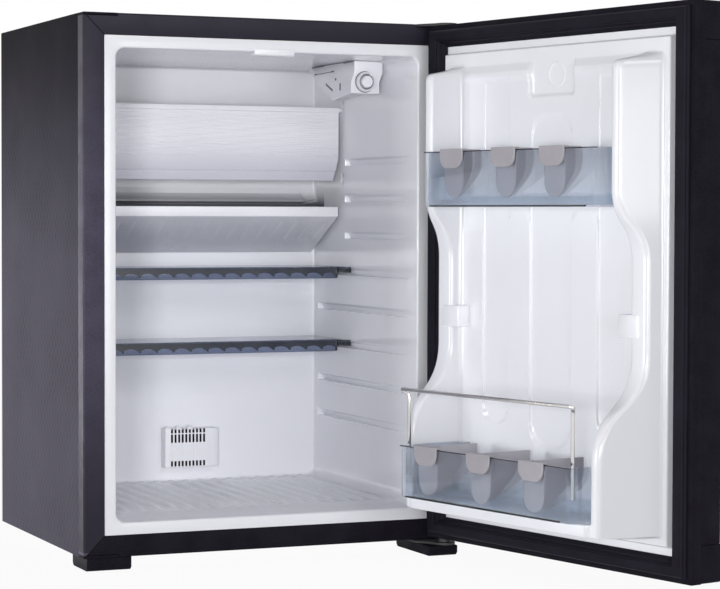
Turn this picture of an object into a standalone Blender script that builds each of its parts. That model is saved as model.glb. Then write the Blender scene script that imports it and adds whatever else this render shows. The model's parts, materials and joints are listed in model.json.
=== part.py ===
"""Minibar fridge, an absorption minibar that stands free, with its door open.

Everything is modelled in cabinet coordinates: X to the right, Y to the back and Z up, from the
bottom left corner of the cabinet's front face, with the door shut. Empties then turn the door
to its rest angle and set the whole fridge on the floor. Lengths are in metres.
"""
import math

import bmesh
import bpy
from mathutils import Matrix, Vector

# Fits
CLEARANCE = 0.0003
PIN_CLEARANCE = 0.0004

# Cabinet
CABINET_WIDTH = 0.402
CABINET_HEIGHT = 0.547
CABINET_DEPTH = 0.3145
SHEET = 0.001
FOOT_HEIGHT = 0.014

# Black frame round the front
FRAME_FACE = 0.022
FRAME_RETURN = 0.018
FRAME_WALL = 0.003
BLANK_WIDTH = 0.036

# White liner and its cavity
RIM_WIDTH = 0.0126
RIM_SETBACK = 0.0005
LINER_WALL = 0.002
LINER_BACK = 0.005
BACK_INSULATION = 0.029
CAVITY_CORNER = 0.010
MOUTH_FILLET = 0.003
SILL_DEPTH = 0.036
FLOOR_RISE = 0.0055
FLOOR_RIB_PITCH = 0.0176
FLOOR_RIB_WIDTH = 0.008
FLOOR_RIB_HEIGHT = 0.002
GUTTER_DEPTH = 0.003
GUTTER_HEIGHT = 0.006

# Shelf runners on the side walls
RUNNER_LEVELS = 8
RUNNER_FIRST = 0.1153
RUNNER_HEIGHT = 0.007
RUNNER_REACH = 0.006
RUNNER_STOP_REACH = 0.008
RUNNER_STOP_LENGTH = 0.008
RUNNER_FRONT = 0.009
RUNNER_FRONT_REACH = 0.0035
SHORT_RUNNER_GAP = 0.007
SHORT_RUNNER_REACH = 0.0042
SHORT_RUNNERS = 3

# Shelves
SHELF_DEPTH = 0.0885
SHELF_PLATE = 0.0025
SHELF_LIP_HEIGHT = 0.0135
SHELF_LIP_WALL = 0.003
SHELF_SIDE_GAP = 0.0008
SHELF_ARM_REACH = 0.020
SHELF_BACK_GAP = 0.0015
SHELF_HEADROOM = 0.021
SHELF_UPPER_LEVEL = 4
SHELF_LOWER_LEVEL = 2

# Freezer flap, evaporator and drip tray
FLAP_FROM_BACK = 0.0825
FLAP_WALL = 0.004
FLAP_BELOW_TOP = 0.080
FLAP_STRAIGHT = 0.056
FLAP_HEIGHT = 0.083
FLAP_LEAN = 0.006
FLAP_LIP_HEIGHT = 0.006
FLAP_LIP_REACH = 0.003
FLAP_SIDE_GAP = 0.005
FLAP_CORNER_WIDTH = 0.0045
FLAP_CORNER_HEIGHT = 0.020
FLAP_PIN_RADIUS = 0.002
EVAPORATOR_WIDTH = 0.200
EVAPORATOR_BELOW_TOP = 0.159
EVAPORATOR_HEIGHT = 0.070
EVAPORATOR_PLATE = 0.005
EVAPORATOR_FINS = 13
EVAPORATOR_FIN_WALL = 0.002
EVAPORATOR_FIN_DEPTH = 0.050
TRAY_BELOW_TOP = 0.1925
TRAY_LIP_HEIGHT = 0.011
TRAY_FRONT_DEPTH = 0.016
TRAY_BACK_DEPTH = 0.053
TRAY_WALL = 0.002
TRAY_SIDE_GAP = 0.005
TRAY_FLANGE = 0.002
TRAY_LEDGE_HEIGHT = 0.0025
TRAY_LEDGE_REACH = 0.003

# Lamp and thermostat housing at the top right
HOUSING_WIDTH = 0.0377
HOUSING_GAP = 0.0042
HOUSING_STEP = 0.004
HOUSING_STEP_TOP = 0.0125
HOUSING_STEP_BOTTOM = 0.0225
HOUSING_FRONT = 0.082
HOUSING_FRONT_HEIGHT = 0.035
HOUSING_LENGTH = 0.118
HOUSING_KEEL_BACK = 0.052
HOUSING_KEEL_DROP = 0.0065
HOUSING_REAR_HEIGHT = 0.010
HOUSING_WALL = 0.0022
HOUSING_SOLID = 0.018
LENS_WALL = 0.002
LENS_MARGIN = 0.004
BULB_RADIUS = 0.008
BULB_LENGTH = 0.042
KNOB_RADIUS = 0.0107
KNOB_DEPTH = 0.006
KNOB_FROM_LEFT = 0.0165
KNOB_FROM_BOTTOM = 0.0125
SPINDLE_RADIUS = 0.0025
SPINDLE_LENGTH = 0.010

# Vent cover low on the back wall
VENT_LEFT = 0.1785
VENT_WIDTH = 0.063
VENT_BOTTOM = 0.0565
VENT_HEIGHT = 0.0465
VENT_DEPTH = 0.016
VENT_WALL = 0.002
VENT_SLOTS = 10
VENT_SLOT_PITCH = 0.0043
VENT_SLOT_WIDTH = 0.0022
VENT_SLOT_MARGIN = 0.006
VENT_UPPER_SLOT = 0.0165
VENT_LOWER_SLOT = 0.006

# Lock catch in the middle of the rim's top edge
CATCH_WIDTH = 0.044
CATCH_DEPTH = 0.012
CATCH_HEIGHT = 0.0036
CATCH_OFFSET = 0.0035

# Feet and hinges
FOOT_WIDTH = 0.047
FOOT_DEPTH = 0.051
FOOT_INSET = 0.005
REAR_FOOT_INSET = 0.032
FOOT_CHAMFER = 0.003
HINGE_PLATE = 0.0027
HINGE_PLATE_WIDTH = 0.036
HINGE_NOSE = 0.012
PIN_RADIUS = 0.0035
PIN_ENGAGEMENT = 0.013

# Door
DOOR_GAP = 0.008
DOOR_THICKNESS = 0.038
DOOR_BOTTOM = 0.005
DOOR_TOP_GAP = 0.003
OPEN_ANGLE = 102.0
HINGE_INSET = 0.012
HINGE_FORWARD = 0.0208
PANEL_SHEET = 0.0012
TRIM_WIDTH = 0.006
INNER_FRAME_WIDTH = 0.020
INNER_FRAME_DEPTH = 0.012
CAP_LENGTH = 0.024
CAP_HEIGHT = 0.036
BOSS_HALF = 0.008
BOSS_HEIGHT = 0.020
GASKET_OUTER = 0.006
GASKET_INNER = 0.0275
RING_RATIO = 0.85
GASKET_FLAT = 0.009

# Door liner
DOOR_FLANGE_DROP = 0.004
DOOR_LINER_WALL = 0.002
PLATFORM_INSET = 0.031
PLATFORM_MARGIN = 0.0325
PLATFORM_HEIGHT = 0.007
WALL_FOOT_OUTER = 0.038
WALL_FOOT_INNER = 0.0665
WALL_TOP_INNER = 0.064
WALL_TOP_OUTER = 0.0415
WALL_TOP_DRIFT = 0.011
RECESS_RISE = 0.012
UPPER_LOBE = 0.050
WAIST = 0.024
LOWER_LOBE = 0.073
LEDGE_RISE = 0.077
LEDGE_BOTTOM = 0.047
LEDGE_TOP = 0.0590
LOWER_LOBE_TOP = 0.143
LOWER_WAIST = 0.188
UPPER_WAIST_DROP = 0.223
UPPER_LOBE_DROP = 0.191
SHOULDER_DROP = 0.055
BLOCK_DROP = 0.046
CURVE_STEPS = 4
LUG_WIDTH = 0.0125
LUG_HEIGHT = 0.022
LUG_DEPTH = 0.020
SPARE_LUG_BOTTOM = 0.231

# Door racks, wire guard and dividers
RACK_SIDE = 0.0685
RACK_WALL = 0.0022
RACK_BACK = 0.002
RACK_BLOCK = 0.016
RACK_BLOCK_DEPTH = 0.022
RACK_BACK_HEIGHT = 0.012
RACK_CORNER = 0.006
RACK_UPPER_DROP = 0.190
RACK_UPPER_HEIGHT = 0.0555
RACK_UPPER_FRONT = 0.051
RACK_LOWER_BOTTOM = 0.0605
RACK_LOWER_HEIGHT = 0.052
RACK_LOWER_FRONT = 0.0805
LUG_ABOVE_RACK = 0.008
POST_WIDTH = 0.008
POST_DEPTH = 0.016
BAIL_RADIUS = 0.0019
BAIL_HEIGHT = 0.057
BAIL_STEP = 0.006
BAIL_SIDESTEP = 0.0075
BAIL_BEND = 0.005
BAIL_SOCKET = 0.030
DIVIDER_WIDTH = 0.036
DIVIDER_WALL = 0.002
DIVIDER_TAB = 0.017
DIVIDER_TAB_CORNER = 0.011
DIVIDER_TONGUE_WIDTH = 0.024
DIVIDERS_UPPER = (-0.070, 0.003, 0.085)
DIVIDERS_LOWER = (-0.077, 0.003, 0.087)

# Cooling unit
UNIT_STANDOFF = 0.012
UNIT_STRAP_WIDTH = 0.020
UNIT_STRAP_WALL = 0.002
STRAP_BOTTOM = 0.030
STRAP_BELOW_TOP = 0.027
LEFT_STRAP_X = 0.085
BOILER_FROM_RIGHT = 0.072
BOILER_RADIUS = 0.034
BOILER_BOTTOM = 0.090
BOILER_HEIGHT = 0.240
TANK_RADIUS = 0.026
TANK_LEFT = 0.060
TANK_TO_BOILER = 0.045
TANK_Z = 0.062
COIL_RADIUS = 0.007
COIL_LEFT = 0.095
COIL_TO_BOILER = 0.065
COIL_RUNS = 5
COIL_FIRST = 0.120
COIL_PITCH = 0.032
PIPE_RADIUS = 0.005
RISER_RADIUS = 0.008
CONDENSER_RADIUS = 0.009
CONDENSER_LEFT = 0.070
CONDENSER_TO_BOILER = 0.030
CONDENSER_BELOW_TOP = 0.069
CONDENSER_FINS = 17
FIN_SIZE = 0.044
FIN_WALL = 0.0014
CONDENSER_BARE_END = 0.015
EVAPORATOR_PIPE_BELOW_TOP = 0.123
CONTROL_BOX_WIDTH = 0.048
CONTROL_BOX_DEPTH = 0.036
CONTROL_BOX_HEIGHT = 0.058
CONTROL_BOX_BOTTOM = 0.024
INLET_RADIUS = 0.007
INLET_LENGTH = 0.012

# Smoothness of round forms
CORNER_STEPS = 4
ROUND_SIDES = 16
PIPE_SIDES_STEP = 2


def clear_scene():
    """Start from an empty scene."""
    for obj in list(bpy.data.objects):
        bpy.data.objects.remove(obj, do_unlink=True)


# Finishes

def finish(name, colour, roughness, metallic=0.0, alpha=1.0):
    """A Principled material with one colour."""
    material = bpy.data.materials.new(name)
    material.use_nodes = True
    shader = material.node_tree.nodes["Principled BSDF"]
    shader.inputs["Base Color"].default_value = (*colour, 1.0)
    shader.inputs["Roughness"].default_value = roughness
    shader.inputs["Metallic"].default_value = metallic
    shader.inputs["Alpha"].default_value = alpha
    material.diffuse_color = (*colour, alpha)
    return material


def make_finishes():
    """Every finish of the fridge, by name."""
    return {
        "side_steel": finish("side_steel", (0.045, 0.040, 0.055), 0.55),
        "plain_steel": finish("plain_steel", (0.45, 0.46, 0.48), 0.40, 0.9),
        "black_plastic": finish("black_plastic", (0.012, 0.011, 0.016), 0.45),
        "white_plastic": finish("white_plastic", (0.80, 0.81, 0.85), 0.30),
        "grey_plastic": finish("grey_plastic", (0.38, 0.36, 0.39), 0.50),
        "smoky_clear": finish("smoky_clear", (0.45, 0.55, 0.62), 0.08, 0.0, 0.35),
        "blue_clear": finish("blue_clear", (0.28, 0.36, 0.52), 0.12, 0.0, 0.55),
        "lamp_clear": finish("lamp_clear", (0.86, 0.87, 0.88), 0.20, 0.0, 0.60),
        "chrome_wire": finish("chrome_wire", (0.75, 0.74, 0.73), 0.15, 1.0),
        "cold_aluminium": finish("cold_aluminium", (0.72, 0.73, 0.75), 0.35, 1.0),
        "unit_black": finish("unit_black", (0.02, 0.02, 0.022), 0.60),
        "seal_rubber": finish("seal_rubber", (0.015, 0.014, 0.018), 0.65),
        "foam": finish("foam", (0.78, 0.70, 0.50), 0.95),
    }


# Bodies

ORIGINS = {}
EMPTIES = {}


def make_body(name, origin, parent=None, turn=0.0):
    """An empty on the body's joint axis; its pieces are modelled with the door shut."""
    empty = bpy.data.objects.new(name + "_origin", None)
    bpy.context.scene.collection.objects.link(empty)
    base = ORIGINS[parent] if parent else Vector((0.0, 0.0, 0.0))
    ORIGINS[name] = Vector(origin)
    EMPTIES[name] = empty
    if parent:
        empty.parent = EMPTIES[parent]
    empty.location = ORIGINS[name] - base
    empty.rotation_euler = (0.0, 0.0, turn)
    return empty


# Solids

def solid(name, vertices, faces, material, body, smooth_below=None):
    """A mesh object from vertices in cabinet coordinates, carried by a body's empty."""
    mesh = bpy.data.meshes.new(name)
    mesh.from_pydata([tuple(Vector(v) - ORIGINS[body]) for v in vertices], [], faces)
    shape = bmesh.new()
    shape.from_mesh(mesh)
    bmesh.ops.recalc_face_normals(shape, faces=shape.faces)
    shape.to_mesh(mesh)
    shape.free()
    mesh.materials.append(material)
    obj = bpy.data.objects.new(name, mesh)
    bpy.context.scene.collection.objects.link(obj)
    obj.parent = EMPTIES[body]
    if smooth_below:
        mesh.shade_smooth()
        mesh.set_sharp_from_angle(angle=math.radians(smooth_below))
    return obj


def loft_faces(rings, count, closed_ends=True):
    """Quads between rings of the same count of points, with a cap at each end."""
    faces = []
    for ring in range(rings - 1):
        for step in range(count):
            after = (step + 1) % count
            low = ring * count
            high = low + count
            faces.append((low + step, low + after, high + after, high + step))
    if closed_ends:
        faces.append(tuple(range(count)))
        faces.append(tuple((rings - 1) * count + step for step in range(count)))
    return faces


def loft(name, rings, material, body, smooth_below=None):
    """A solid through rings of points, closed at both ends."""
    vertices = [point for ring in rings for point in ring]
    return solid(name, vertices, loft_faces(len(rings), len(rings[0])), material, body, smooth_below)


def on_axis(axis, pair, along):
    """A point from its two outline coordinates and its place along the extrusion axis."""
    if axis == "X":
        return (along, pair[0], pair[1])
    if axis == "Y":
        return (pair[0], along, pair[1])
    return (pair[0], pair[1], along)


def prism(name, outline, axis, start, end, material, body, smooth_below=None):
    """An outline carried straight along an axis."""
    rings = [[on_axis(axis, pair, place) for pair in outline] for place in (start, end)]
    return loft(name, rings, material, body, smooth_below)


def rectangle(low_a, high_a, low_b, high_b):
    """The corners of a rectangle."""
    return [(low_a, low_b), (high_a, low_b), (high_a, high_b), (low_a, high_b)]


def block(name, low, high, material, body):
    """A plain box between two corners."""
    outline = rectangle(low[0], high[0], low[1], high[1])
    return prism(name, outline, "Z", low[2], high[2], material, body)


def rounded_rectangle(low_a, high_a, low_b, high_b, radius, steps=CORNER_STEPS):
    """A rectangle whose corners are arcs of the same number of steps."""
    points = []
    centres = (
        (high_a - radius, low_b + radius, -90.0),
        (high_a - radius, high_b - radius, 0.0),
        (low_a + radius, high_b - radius, 90.0),
        (low_a + radius, low_b + radius, 180.0),
    )
    for centre_a, centre_b, start in centres:
        for step in range(steps + 1):
            angle = math.radians(start + 90.0 * step / steps)
            points.append((centre_a + radius * math.cos(angle), centre_b + radius * math.sin(angle)))
    return points


def turned(name, profile, axis, centre, material, body, sides=ROUND_SIDES):
    """A profile of (radius, place along the axis) turned about an axis; ends close on flat caps."""
    rings = []
    for radius, along in profile:
        ring = []
        for side in range(sides):
            angle = 2.0 * math.pi * side / sides
            pair = (centre[0] + radius * math.cos(angle), centre[1] + radius * math.sin(angle))
            ring.append(on_axis(axis, pair, along))
        rings.append(ring)
    return loft(name, rings, material, body, 40.0)


def rounded_path(corners, bend, steps=4):
    """A path with each inner corner replaced by an arc-like curve that starts a bend length away."""
    points = [Vector(corners[0])]
    for before, corner, after in zip(corners, corners[1:], corners[2:]):
        corner = Vector(corner)
        into = (Vector(before) - corner).normalized() * bend
        out = (Vector(after) - corner).normalized() * bend
        for step in range(steps + 1):
            t = step / steps
            points.append(corner + into * (1.0 - t) ** 2 + out * t ** 2)
    points.append(Vector(corners[-1]))
    return points


def pipe(name, points, radius, material, body, resolution=PIPE_SIDES_STEP):
    """A round tube along a path: a curve with a bevel and filled caps."""
    curve = bpy.data.curves.new(name, "CURVE")
    curve.dimensions = "3D"
    curve.bevel_depth = radius
    curve.bevel_resolution = resolution
    curve.use_fill_caps = True
    spline = curve.splines.new("POLY")
    spline.points.add(len(points) - 1)
    for point, place in zip(spline.points, points):
        point.co = (*(Vector(place) - ORIGINS[body]), 1.0)
    curve.materials.append(material)
    obj = bpy.data.objects.new(name, curve)
    bpy.context.scene.collection.objects.link(obj)
    obj.parent = EMPTIES[body]
    return obj


def combine(target, tools, operation):
    """Join solids to a target, or cut them out of it, and drop the tools."""
    for tool in tools:
        step = target.modifiers.new(operation.lower(), "BOOLEAN")
        step.operation = operation
        step.solver = "EXACT"
        step.object = tool
    bpy.context.view_layer.update()
    graph = bpy.context.evaluated_depsgraph_get()
    result = bpy.data.meshes.new_from_object(target.evaluated_get(graph))
    old = target.data
    target.modifiers.clear()
    if target.type == "MESH":
        target.data = result
    for tool in tools:
        bpy.data.objects.remove(tool, do_unlink=True)
    bpy.data.meshes.remove(old)
    return target


def cut(target, tools):
    """Take the tools away from the target."""
    return combine(target, tools, "DIFFERENCE")


def join(target, tools):
    """Make the target and the tools one body."""
    return combine(target, tools, "UNION")


def bore(centre, radius, axis, start, end, body, sides=ROUND_SIDES):
    """A round cutter."""
    return turned("bore", [(radius, start), (radius, end)], axis, centre, FINISH["foam"], body, sides)


# Derived places

def derive():
    """Places that more than one piece shares, worked out from the driving sizes."""
    place = {}
    place["wall"] = FRAME_FACE + RIM_WIDTH
    place["left"] = place["wall"]
    place["right"] = CABINET_WIDTH - place["wall"]
    place["sill"] = place["wall"]
    place["floor"] = place["sill"] + FLOOR_RISE
    place["ceiling"] = CABINET_HEIGHT - place["wall"]
    place["back"] = CABINET_DEPTH - BACK_INSULATION
    place["centre"] = CABINET_WIDTH / 2.0
    place["axis_x"] = CABINET_WIDTH - HINGE_INSET
    place["axis_y"] = -HINGE_FORWARD
    place["door_inner"] = -DOOR_GAP
    place["door_outer"] = -DOOR_GAP - DOOR_THICKNESS
    place["door_top"] = CABINET_HEIGHT - DOOR_TOP_GAP
    place["frame_back"] = place["door_inner"] - INNER_FRAME_DEPTH
    place["liner_edge"] = INNER_FRAME_WIDTH + CLEARANCE
    place["flange"] = place["door_inner"] - DOOR_FLANGE_DROP
    place["flap_front"] = place["back"] - FLAP_FROM_BACK
    place["flap_top"] = CABINET_HEIGHT - FLAP_BELOW_TOP
    place["flap_bend"] = place["flap_top"] - FLAP_STRAIGHT
    place["flap_bottom"] = place["flap_top"] - FLAP_HEIGHT
    place["evaporator_bottom"] = CABINET_HEIGHT - EVAPORATOR_BELOW_TOP
    place["tray_top"] = CABINET_HEIGHT - TRAY_BELOW_TOP
    place["tray_bottom"] = place["tray_top"] - TRAY_BACK_DEPTH
    upper_shelf = place["tray_bottom"] - SHELF_HEADROOM
    place["runner_pitch"] = (upper_shelf - RUNNER_FIRST) / SHELF_UPPER_LEVEL
    place["short_runner_back"] = place["flap_front"] - SHORT_RUNNER_GAP
    place["upper_waist"] = place["door_top"] - UPPER_WAIST_DROP
    place["upper_lobe"] = place["door_top"] - UPPER_LOBE_DROP
    place["shoulder"] = place["door_top"] - SHOULDER_DROP
    place["block_top"] = place["door_top"] - BLOCK_DROP
    place["rack_upper"] = place["door_top"] - RACK_UPPER_DROP
    place["unit"] = CABINET_DEPTH + UNIT_STANDOFF + CLEARANCE
    place["boiler_x"] = CABINET_WIDTH - BOILER_FROM_RIGHT
    place["tank_right"] = place["boiler_x"] - TANK_TO_BOILER
    place["coil_right"] = place["boiler_x"] - COIL_TO_BOILER
    place["condenser_right"] = place["boiler_x"] - CONDENSER_TO_BOILER
    place["condenser_z"] = CABINET_HEIGHT - CONDENSER_BELOW_TOP
    place["strap_top"] = CABINET_HEIGHT - STRAP_BELOW_TOP
    place["pipe_z"] = CABINET_HEIGHT - EVAPORATOR_PIPE_BELOW_TOP
    place["boiler_y"] = place["unit"] + BOILER_RADIUS
    place["tank_y"] = place["unit"] + TANK_RADIUS
    place["pipe_y"] = place["unit"] + FIN_SIZE / 2.0
    return place


def runner_level(index):
    """Height of the middle of a shelf runner above the cabinet's bottom."""
    return RUNNER_FIRST + PLACE["runner_pitch"] * index


# Cabinet

def cabinet_wrapper():
    """Bent sheet: the left side, the top and the right side."""
    width, height = CABINET_WIDTH, CABINET_HEIGHT
    outline = [
        (0.0, 0.0),
        (SHEET, 0.0),
        (SHEET, height - SHEET),
        (width - SHEET, height - SHEET),
        (width - SHEET, 0.0),
        (width, 0.0),
        (width, height),
        (0.0, height),
    ]
    front = FRAME_RETURN + CLEARANCE
    prism("cabinet_wrapper", outline, "Y", front, CABINET_DEPTH, FINISH["side_steel"], "cabinet")


def base_plate():
    """Sheet between the wrapper's two sides."""
    inset = SHEET + CLEARANCE
    low = (inset, FRAME_RETURN + CLEARANCE, 0.0)
    high = (CABINET_WIDTH - inset, CABINET_DEPTH - inset, SHEET)
    block("base_plate", low, high, FINISH["plain_steel"], "cabinet")


def rear_plate():
    """Sheet that closes the back, with a hole for the evaporator's pipe."""
    inset = SHEET + CLEARANCE
    low = (inset, CABINET_DEPTH - SHEET, 0.0)
    high = (CABINET_WIDTH - inset, CABINET_DEPTH, CABINET_HEIGHT - inset)
    plate = block("rear_plate", low, high, FINISH["plain_steel"], "cabinet")
    cut(plate, [pipe_hole()])


def pipe_hole():
    """Cutter for the evaporator's pipe through the back of the cabinet."""
    start = PLACE["back"] - LINER_WALL
    end = CABINET_DEPTH + SHEET
    centre = (PLACE["centre"], PLACE["pipe_z"])
    return bore(centre, PIPE_RADIUS + CLEARANCE, "Y", start, end, "cabinet")


def ring_at(depth, inset, bottom, top, corner):
    """A rounded rectangle facing the front, at a depth, inset from the cabinet's sides."""
    pairs = rounded_rectangle(inset, CABINET_WIDTH - inset, bottom, top, corner)
    return [(a, depth, b) for a, b in pairs]


def cabinet_foam():
    """Insulation: a thick box, open at the front, that fills the space round the liner."""
    sharp = SHEET
    outer = SHEET + CLEARANCE
    front = FRAME_WALL + CLEARANCE
    behind_frame = FRAME_WALL + CLEARANCE
    step = FRAME_RETURN + CLEARANCE
    back = CABINET_DEPTH - outer
    inner = PLACE["wall"] - LINER_WALL - CLEARANCE
    inner_back = PLACE["back"] + LINER_BACK + CLEARANCE
    corner = CAVITY_CORNER + LINER_WALL + CLEARANCE
    top = CABINET_HEIGHT
    rings = [
        ring_at(inner_back, inner, inner, top - inner, corner),
        ring_at(front, inner, inner, top - inner, corner),
        ring_at(front, behind_frame, behind_frame, top - behind_frame, sharp),
        ring_at(step, behind_frame, behind_frame, top - behind_frame, sharp),
        ring_at(step, outer, outer, top - outer, sharp),
        ring_at(back, outer, outer, top - outer, sharp),
    ]
    foam = loft("cabinet_foam", rings, FINISH["foam"], "cabinet")
    cut(foam, [pipe_hole()])


def inner_liner():
    """White tub with a flat rim, a raised floor, shelf runners, floor ribs and tray ledges."""
    wall, back, top = PLACE["wall"], PLACE["back"], CABINET_HEIGHT
    rim_back = RIM_SETBACK + LINER_WALL
    mouth = RIM_SETBACK + MOUTH_FILLET
    edge = FRAME_FACE + CLEARANCE
    outside = wall - LINER_WALL
    corner = CAVITY_CORNER
    small = SHEET
    half = MOUTH_FILLET * (1.0 - math.cos(math.radians(45.0)))
    rings = [
        ring_at(back, wall, PLACE["floor"], top - wall, corner),
        ring_at(SILL_DEPTH, wall, PLACE["floor"], top - wall, corner),
        ring_at(SILL_DEPTH * 0.7, wall, PLACE["sill"] + FLOOR_RISE * 0.6, top - wall, corner),
        ring_at(mouth, wall, wall, top - wall, corner),
        ring_at(RIM_SETBACK + half, wall - half, wall - half, top - wall + half, corner),
        ring_at(RIM_SETBACK, wall - MOUTH_FILLET, wall - MOUTH_FILLET,
                top - wall + MOUTH_FILLET, corner),
        ring_at(RIM_SETBACK, edge, edge, top - edge, small),
        ring_at(rim_back, edge, edge, top - edge, small),
        ring_at(rim_back, outside, outside, top - outside, corner + LINER_WALL),
        ring_at(back + LINER_BACK, outside, outside, top - outside, corner + LINER_WALL),
    ]
    liner = loft("inner_liner", rings, FINISH["white_plastic"], "cabinet", 35.0)
    join(liner, runners() + floor_ribs() + tray_ledges())
    cut(liner, [pipe_hole(), gutter()] + flap_sockets())


def runners():
    """Ledges on both side walls, each a taper from its back stop to the front."""
    tools = []
    sunk = LINER_WALL / 2.0
    for level in range(RUNNER_LEVELS):
        short = level >= RUNNER_LEVELS - SHORT_RUNNERS
        back = PLACE["short_runner_back"] if short else PLACE["back"] + sunk
        reach = SHORT_RUNNER_REACH if short else RUNNER_REACH
        stop = SHORT_RUNNER_REACH + CLEARANCE if short else RUNNER_STOP_REACH
        low = runner_level(level) - RUNNER_HEIGHT / 2.0
        profile = [
            (-sunk, RUNNER_FRONT),
            (RUNNER_FRONT_REACH, RUNNER_FRONT),
            (reach, back - RUNNER_STOP_LENGTH),
            (stop, back - RUNNER_STOP_LENGTH),
            (stop, back),
            (-sunk, back),
        ]
        for wall, direction in ((PLACE["left"], 1.0), (PLACE["right"], -1.0)):
            outline = [(wall + direction * reach, depth) for reach, depth in profile]
            tools.append(prism("runner", outline, "Z", low, low + RUNNER_HEIGHT,
                               FINISH["white_plastic"], "cabinet"))
    return tools


def floor_ribs():
    """Low ribs along the floor, a pitch apart about the middle."""
    reach = (PLACE["right"] - PLACE["left"]) / 2.0 - CAVITY_CORNER - FLOOR_RIB_WIDTH / 2.0
    each_side = int(reach / FLOOR_RIB_PITCH)
    floor = PLACE["floor"]
    tools = []
    for index in range(-each_side, each_side + 1):
        middle = PLACE["centre"] + index * FLOOR_RIB_PITCH
        half = FLOOR_RIB_WIDTH / 2.0
        outline = [
            (middle - half, floor - LINER_WALL / 2.0),
            (middle + half, floor - LINER_WALL / 2.0),
            (middle + half, floor),
            (middle + half / 2.0, floor + FLOOR_RIB_HEIGHT),
            (middle - half / 2.0, floor + FLOOR_RIB_HEIGHT),
            (middle - half, floor),
        ]
        start = SILL_DEPTH + FLOOR_RIB_WIDTH / 2.0
        end = PLACE["back"] - FLOOR_RIB_WIDTH / 2.0
        tools.append(prism("rib", outline, "Y", start, end, FINISH["white_plastic"], "cabinet"))
    return tools


def tray_flange_bottom():
    """Underside of the drip tray's side flanges."""
    return PLACE["tray_top"] - TRAY_FLANGE - TRAY_WALL


def tray_ledges():
    """Thin ledges on the side walls that the drip tray's flanges slide on."""
    top = tray_flange_bottom() - CLEARANCE
    low = top - TRAY_LEDGE_HEIGHT
    sunk = LINER_WALL / 2.0
    reach = TRAY_LEDGE_REACH
    tools = []
    for wall, direction in ((PLACE["left"], 1.0), (PLACE["right"], -1.0)):
        side_a, side_b = sorted((wall - direction * sunk, wall + direction * reach))
        tools.append(block("ledge", (side_a, PLACE["flap_front"] + TRAY_LIP_HEIGHT / 2.0, low),
                           (side_b, PLACE["back"] + sunk, top), FINISH["white_plastic"], "cabinet"))
    return tools


def gutter():
    """Shallow drain channel across the back wall, just above the drip tray."""
    bottom = PLACE["tray_top"] + GUTTER_HEIGHT
    low = (PLACE["left"] + CAVITY_CORNER, PLACE["back"] - GUTTER_DEPTH, bottom)
    high = (PLACE["right"] - CAVITY_CORNER, PLACE["back"] + GUTTER_DEPTH, bottom + GUTTER_HEIGHT)
    return block("gutter", low, high, FINISH["foam"], "cabinet")


def flap_axis():
    """Depth and height of the freezer flap's pivot."""
    return (PLACE["flap_front"] + FLAP_WALL * 0.75, PLACE["flap_top"] - FLAP_LIP_HEIGHT / 2.0)


def flap_sockets():
    """Holes in the liner's side walls that the flap's pins turn in."""
    radius = FLAP_PIN_RADIUS + PIN_CLEARANCE
    left = (PLACE["left"] - LINER_WALL * 1.5, PLACE["left"] + LINER_WALL / 2.0)
    right = (PLACE["right"] - LINER_WALL / 2.0, PLACE["right"] + LINER_WALL * 1.5)
    return [bore(flap_axis(), radius, "X", start, end, "cabinet", 12) for start, end in (left, right)]


def frame_section():
    """Cross-section of the front frame as (distance in from the edge, depth)."""
    soft = FRAME_WALL / 2.0
    return [
        (0.0, soft),
        (soft, 0.0),
        (FRAME_FACE, 0.0),
        (FRAME_FACE, FRAME_WALL),
        (FRAME_WALL, FRAME_WALL),
        (FRAME_WALL, FRAME_RETURN),
        (0.0, FRAME_RETURN),
    ]


def mitred_bar(name, section, side, bounds, material, body, gap=CLEARANCE):
    """One bar of a mitred frame. Its section is (distance in from the edge, depth)."""
    left, right, bottom, top = bounds
    rings = []
    for end in (0, 1):
        ring = []
        for inward, depth in section:
            run = inward + gap
            if side in ("left", "right"):
                across = left + inward if side == "left" else right - inward
                ring.append((across, depth, bottom + run if end == 0 else top - run))
            else:
                up = bottom + inward if side == "bottom" else top - inward
                ring.append((left + run if end == 0 else right - run, depth, up))
        rings.append(ring)
    return loft(name, rings, material, body)


def front_frame():
    """Four mitred profiles, with seats for the hinge plate and for the blanks on the left."""
    bounds = (0.0, CABINET_WIDTH, 0.0, CABINET_HEIGHT)
    bars = {}
    for side in ("left", "right", "bottom", "top"):
        bars[side] = mitred_bar("frame_" + side, frame_section(), side, bounds,
                                FINISH["black_plastic"], "cabinet")
    for side in ("top", "right"):
        cut(bars[side], [hinge_seat()])
    for side in ("top", "left"):
        cut(bars[side], [blank_seat(top_seat=True)])
    for side in ("bottom", "left"):
        cut(bars[side], [blank_seat(top_seat=False)])


def seat_cutter(left, right, top_seat):
    """A seat across the frame's return, at its top or its bottom."""
    bottom = CABINET_HEIGHT - FRAME_WALL if top_seat else -FRAME_WALL
    top = CABINET_HEIGHT + FRAME_WALL if top_seat else FRAME_WALL
    low = (left, -FRAME_WALL, bottom)
    high = (right, FRAME_RETURN + FRAME_WALL, top)
    return block("seat", low, high, FINISH["foam"], "cabinet")


def hinge_seat():
    """Seat of the upper hinge plate at the right end."""
    left = CABINET_WIDTH - HINGE_PLATE_WIDTH - 2.0 * CLEARANCE
    return seat_cutter(left, CABINET_WIDTH + FRAME_WALL, True)


def blank_seat(top_seat):
    """Seat of a blank at the left end, where a hinge for a left-hand door would go."""
    return seat_cutter(-FRAME_WALL, BLANK_WIDTH + 2.0 * CLEARANCE, top_seat)


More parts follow.
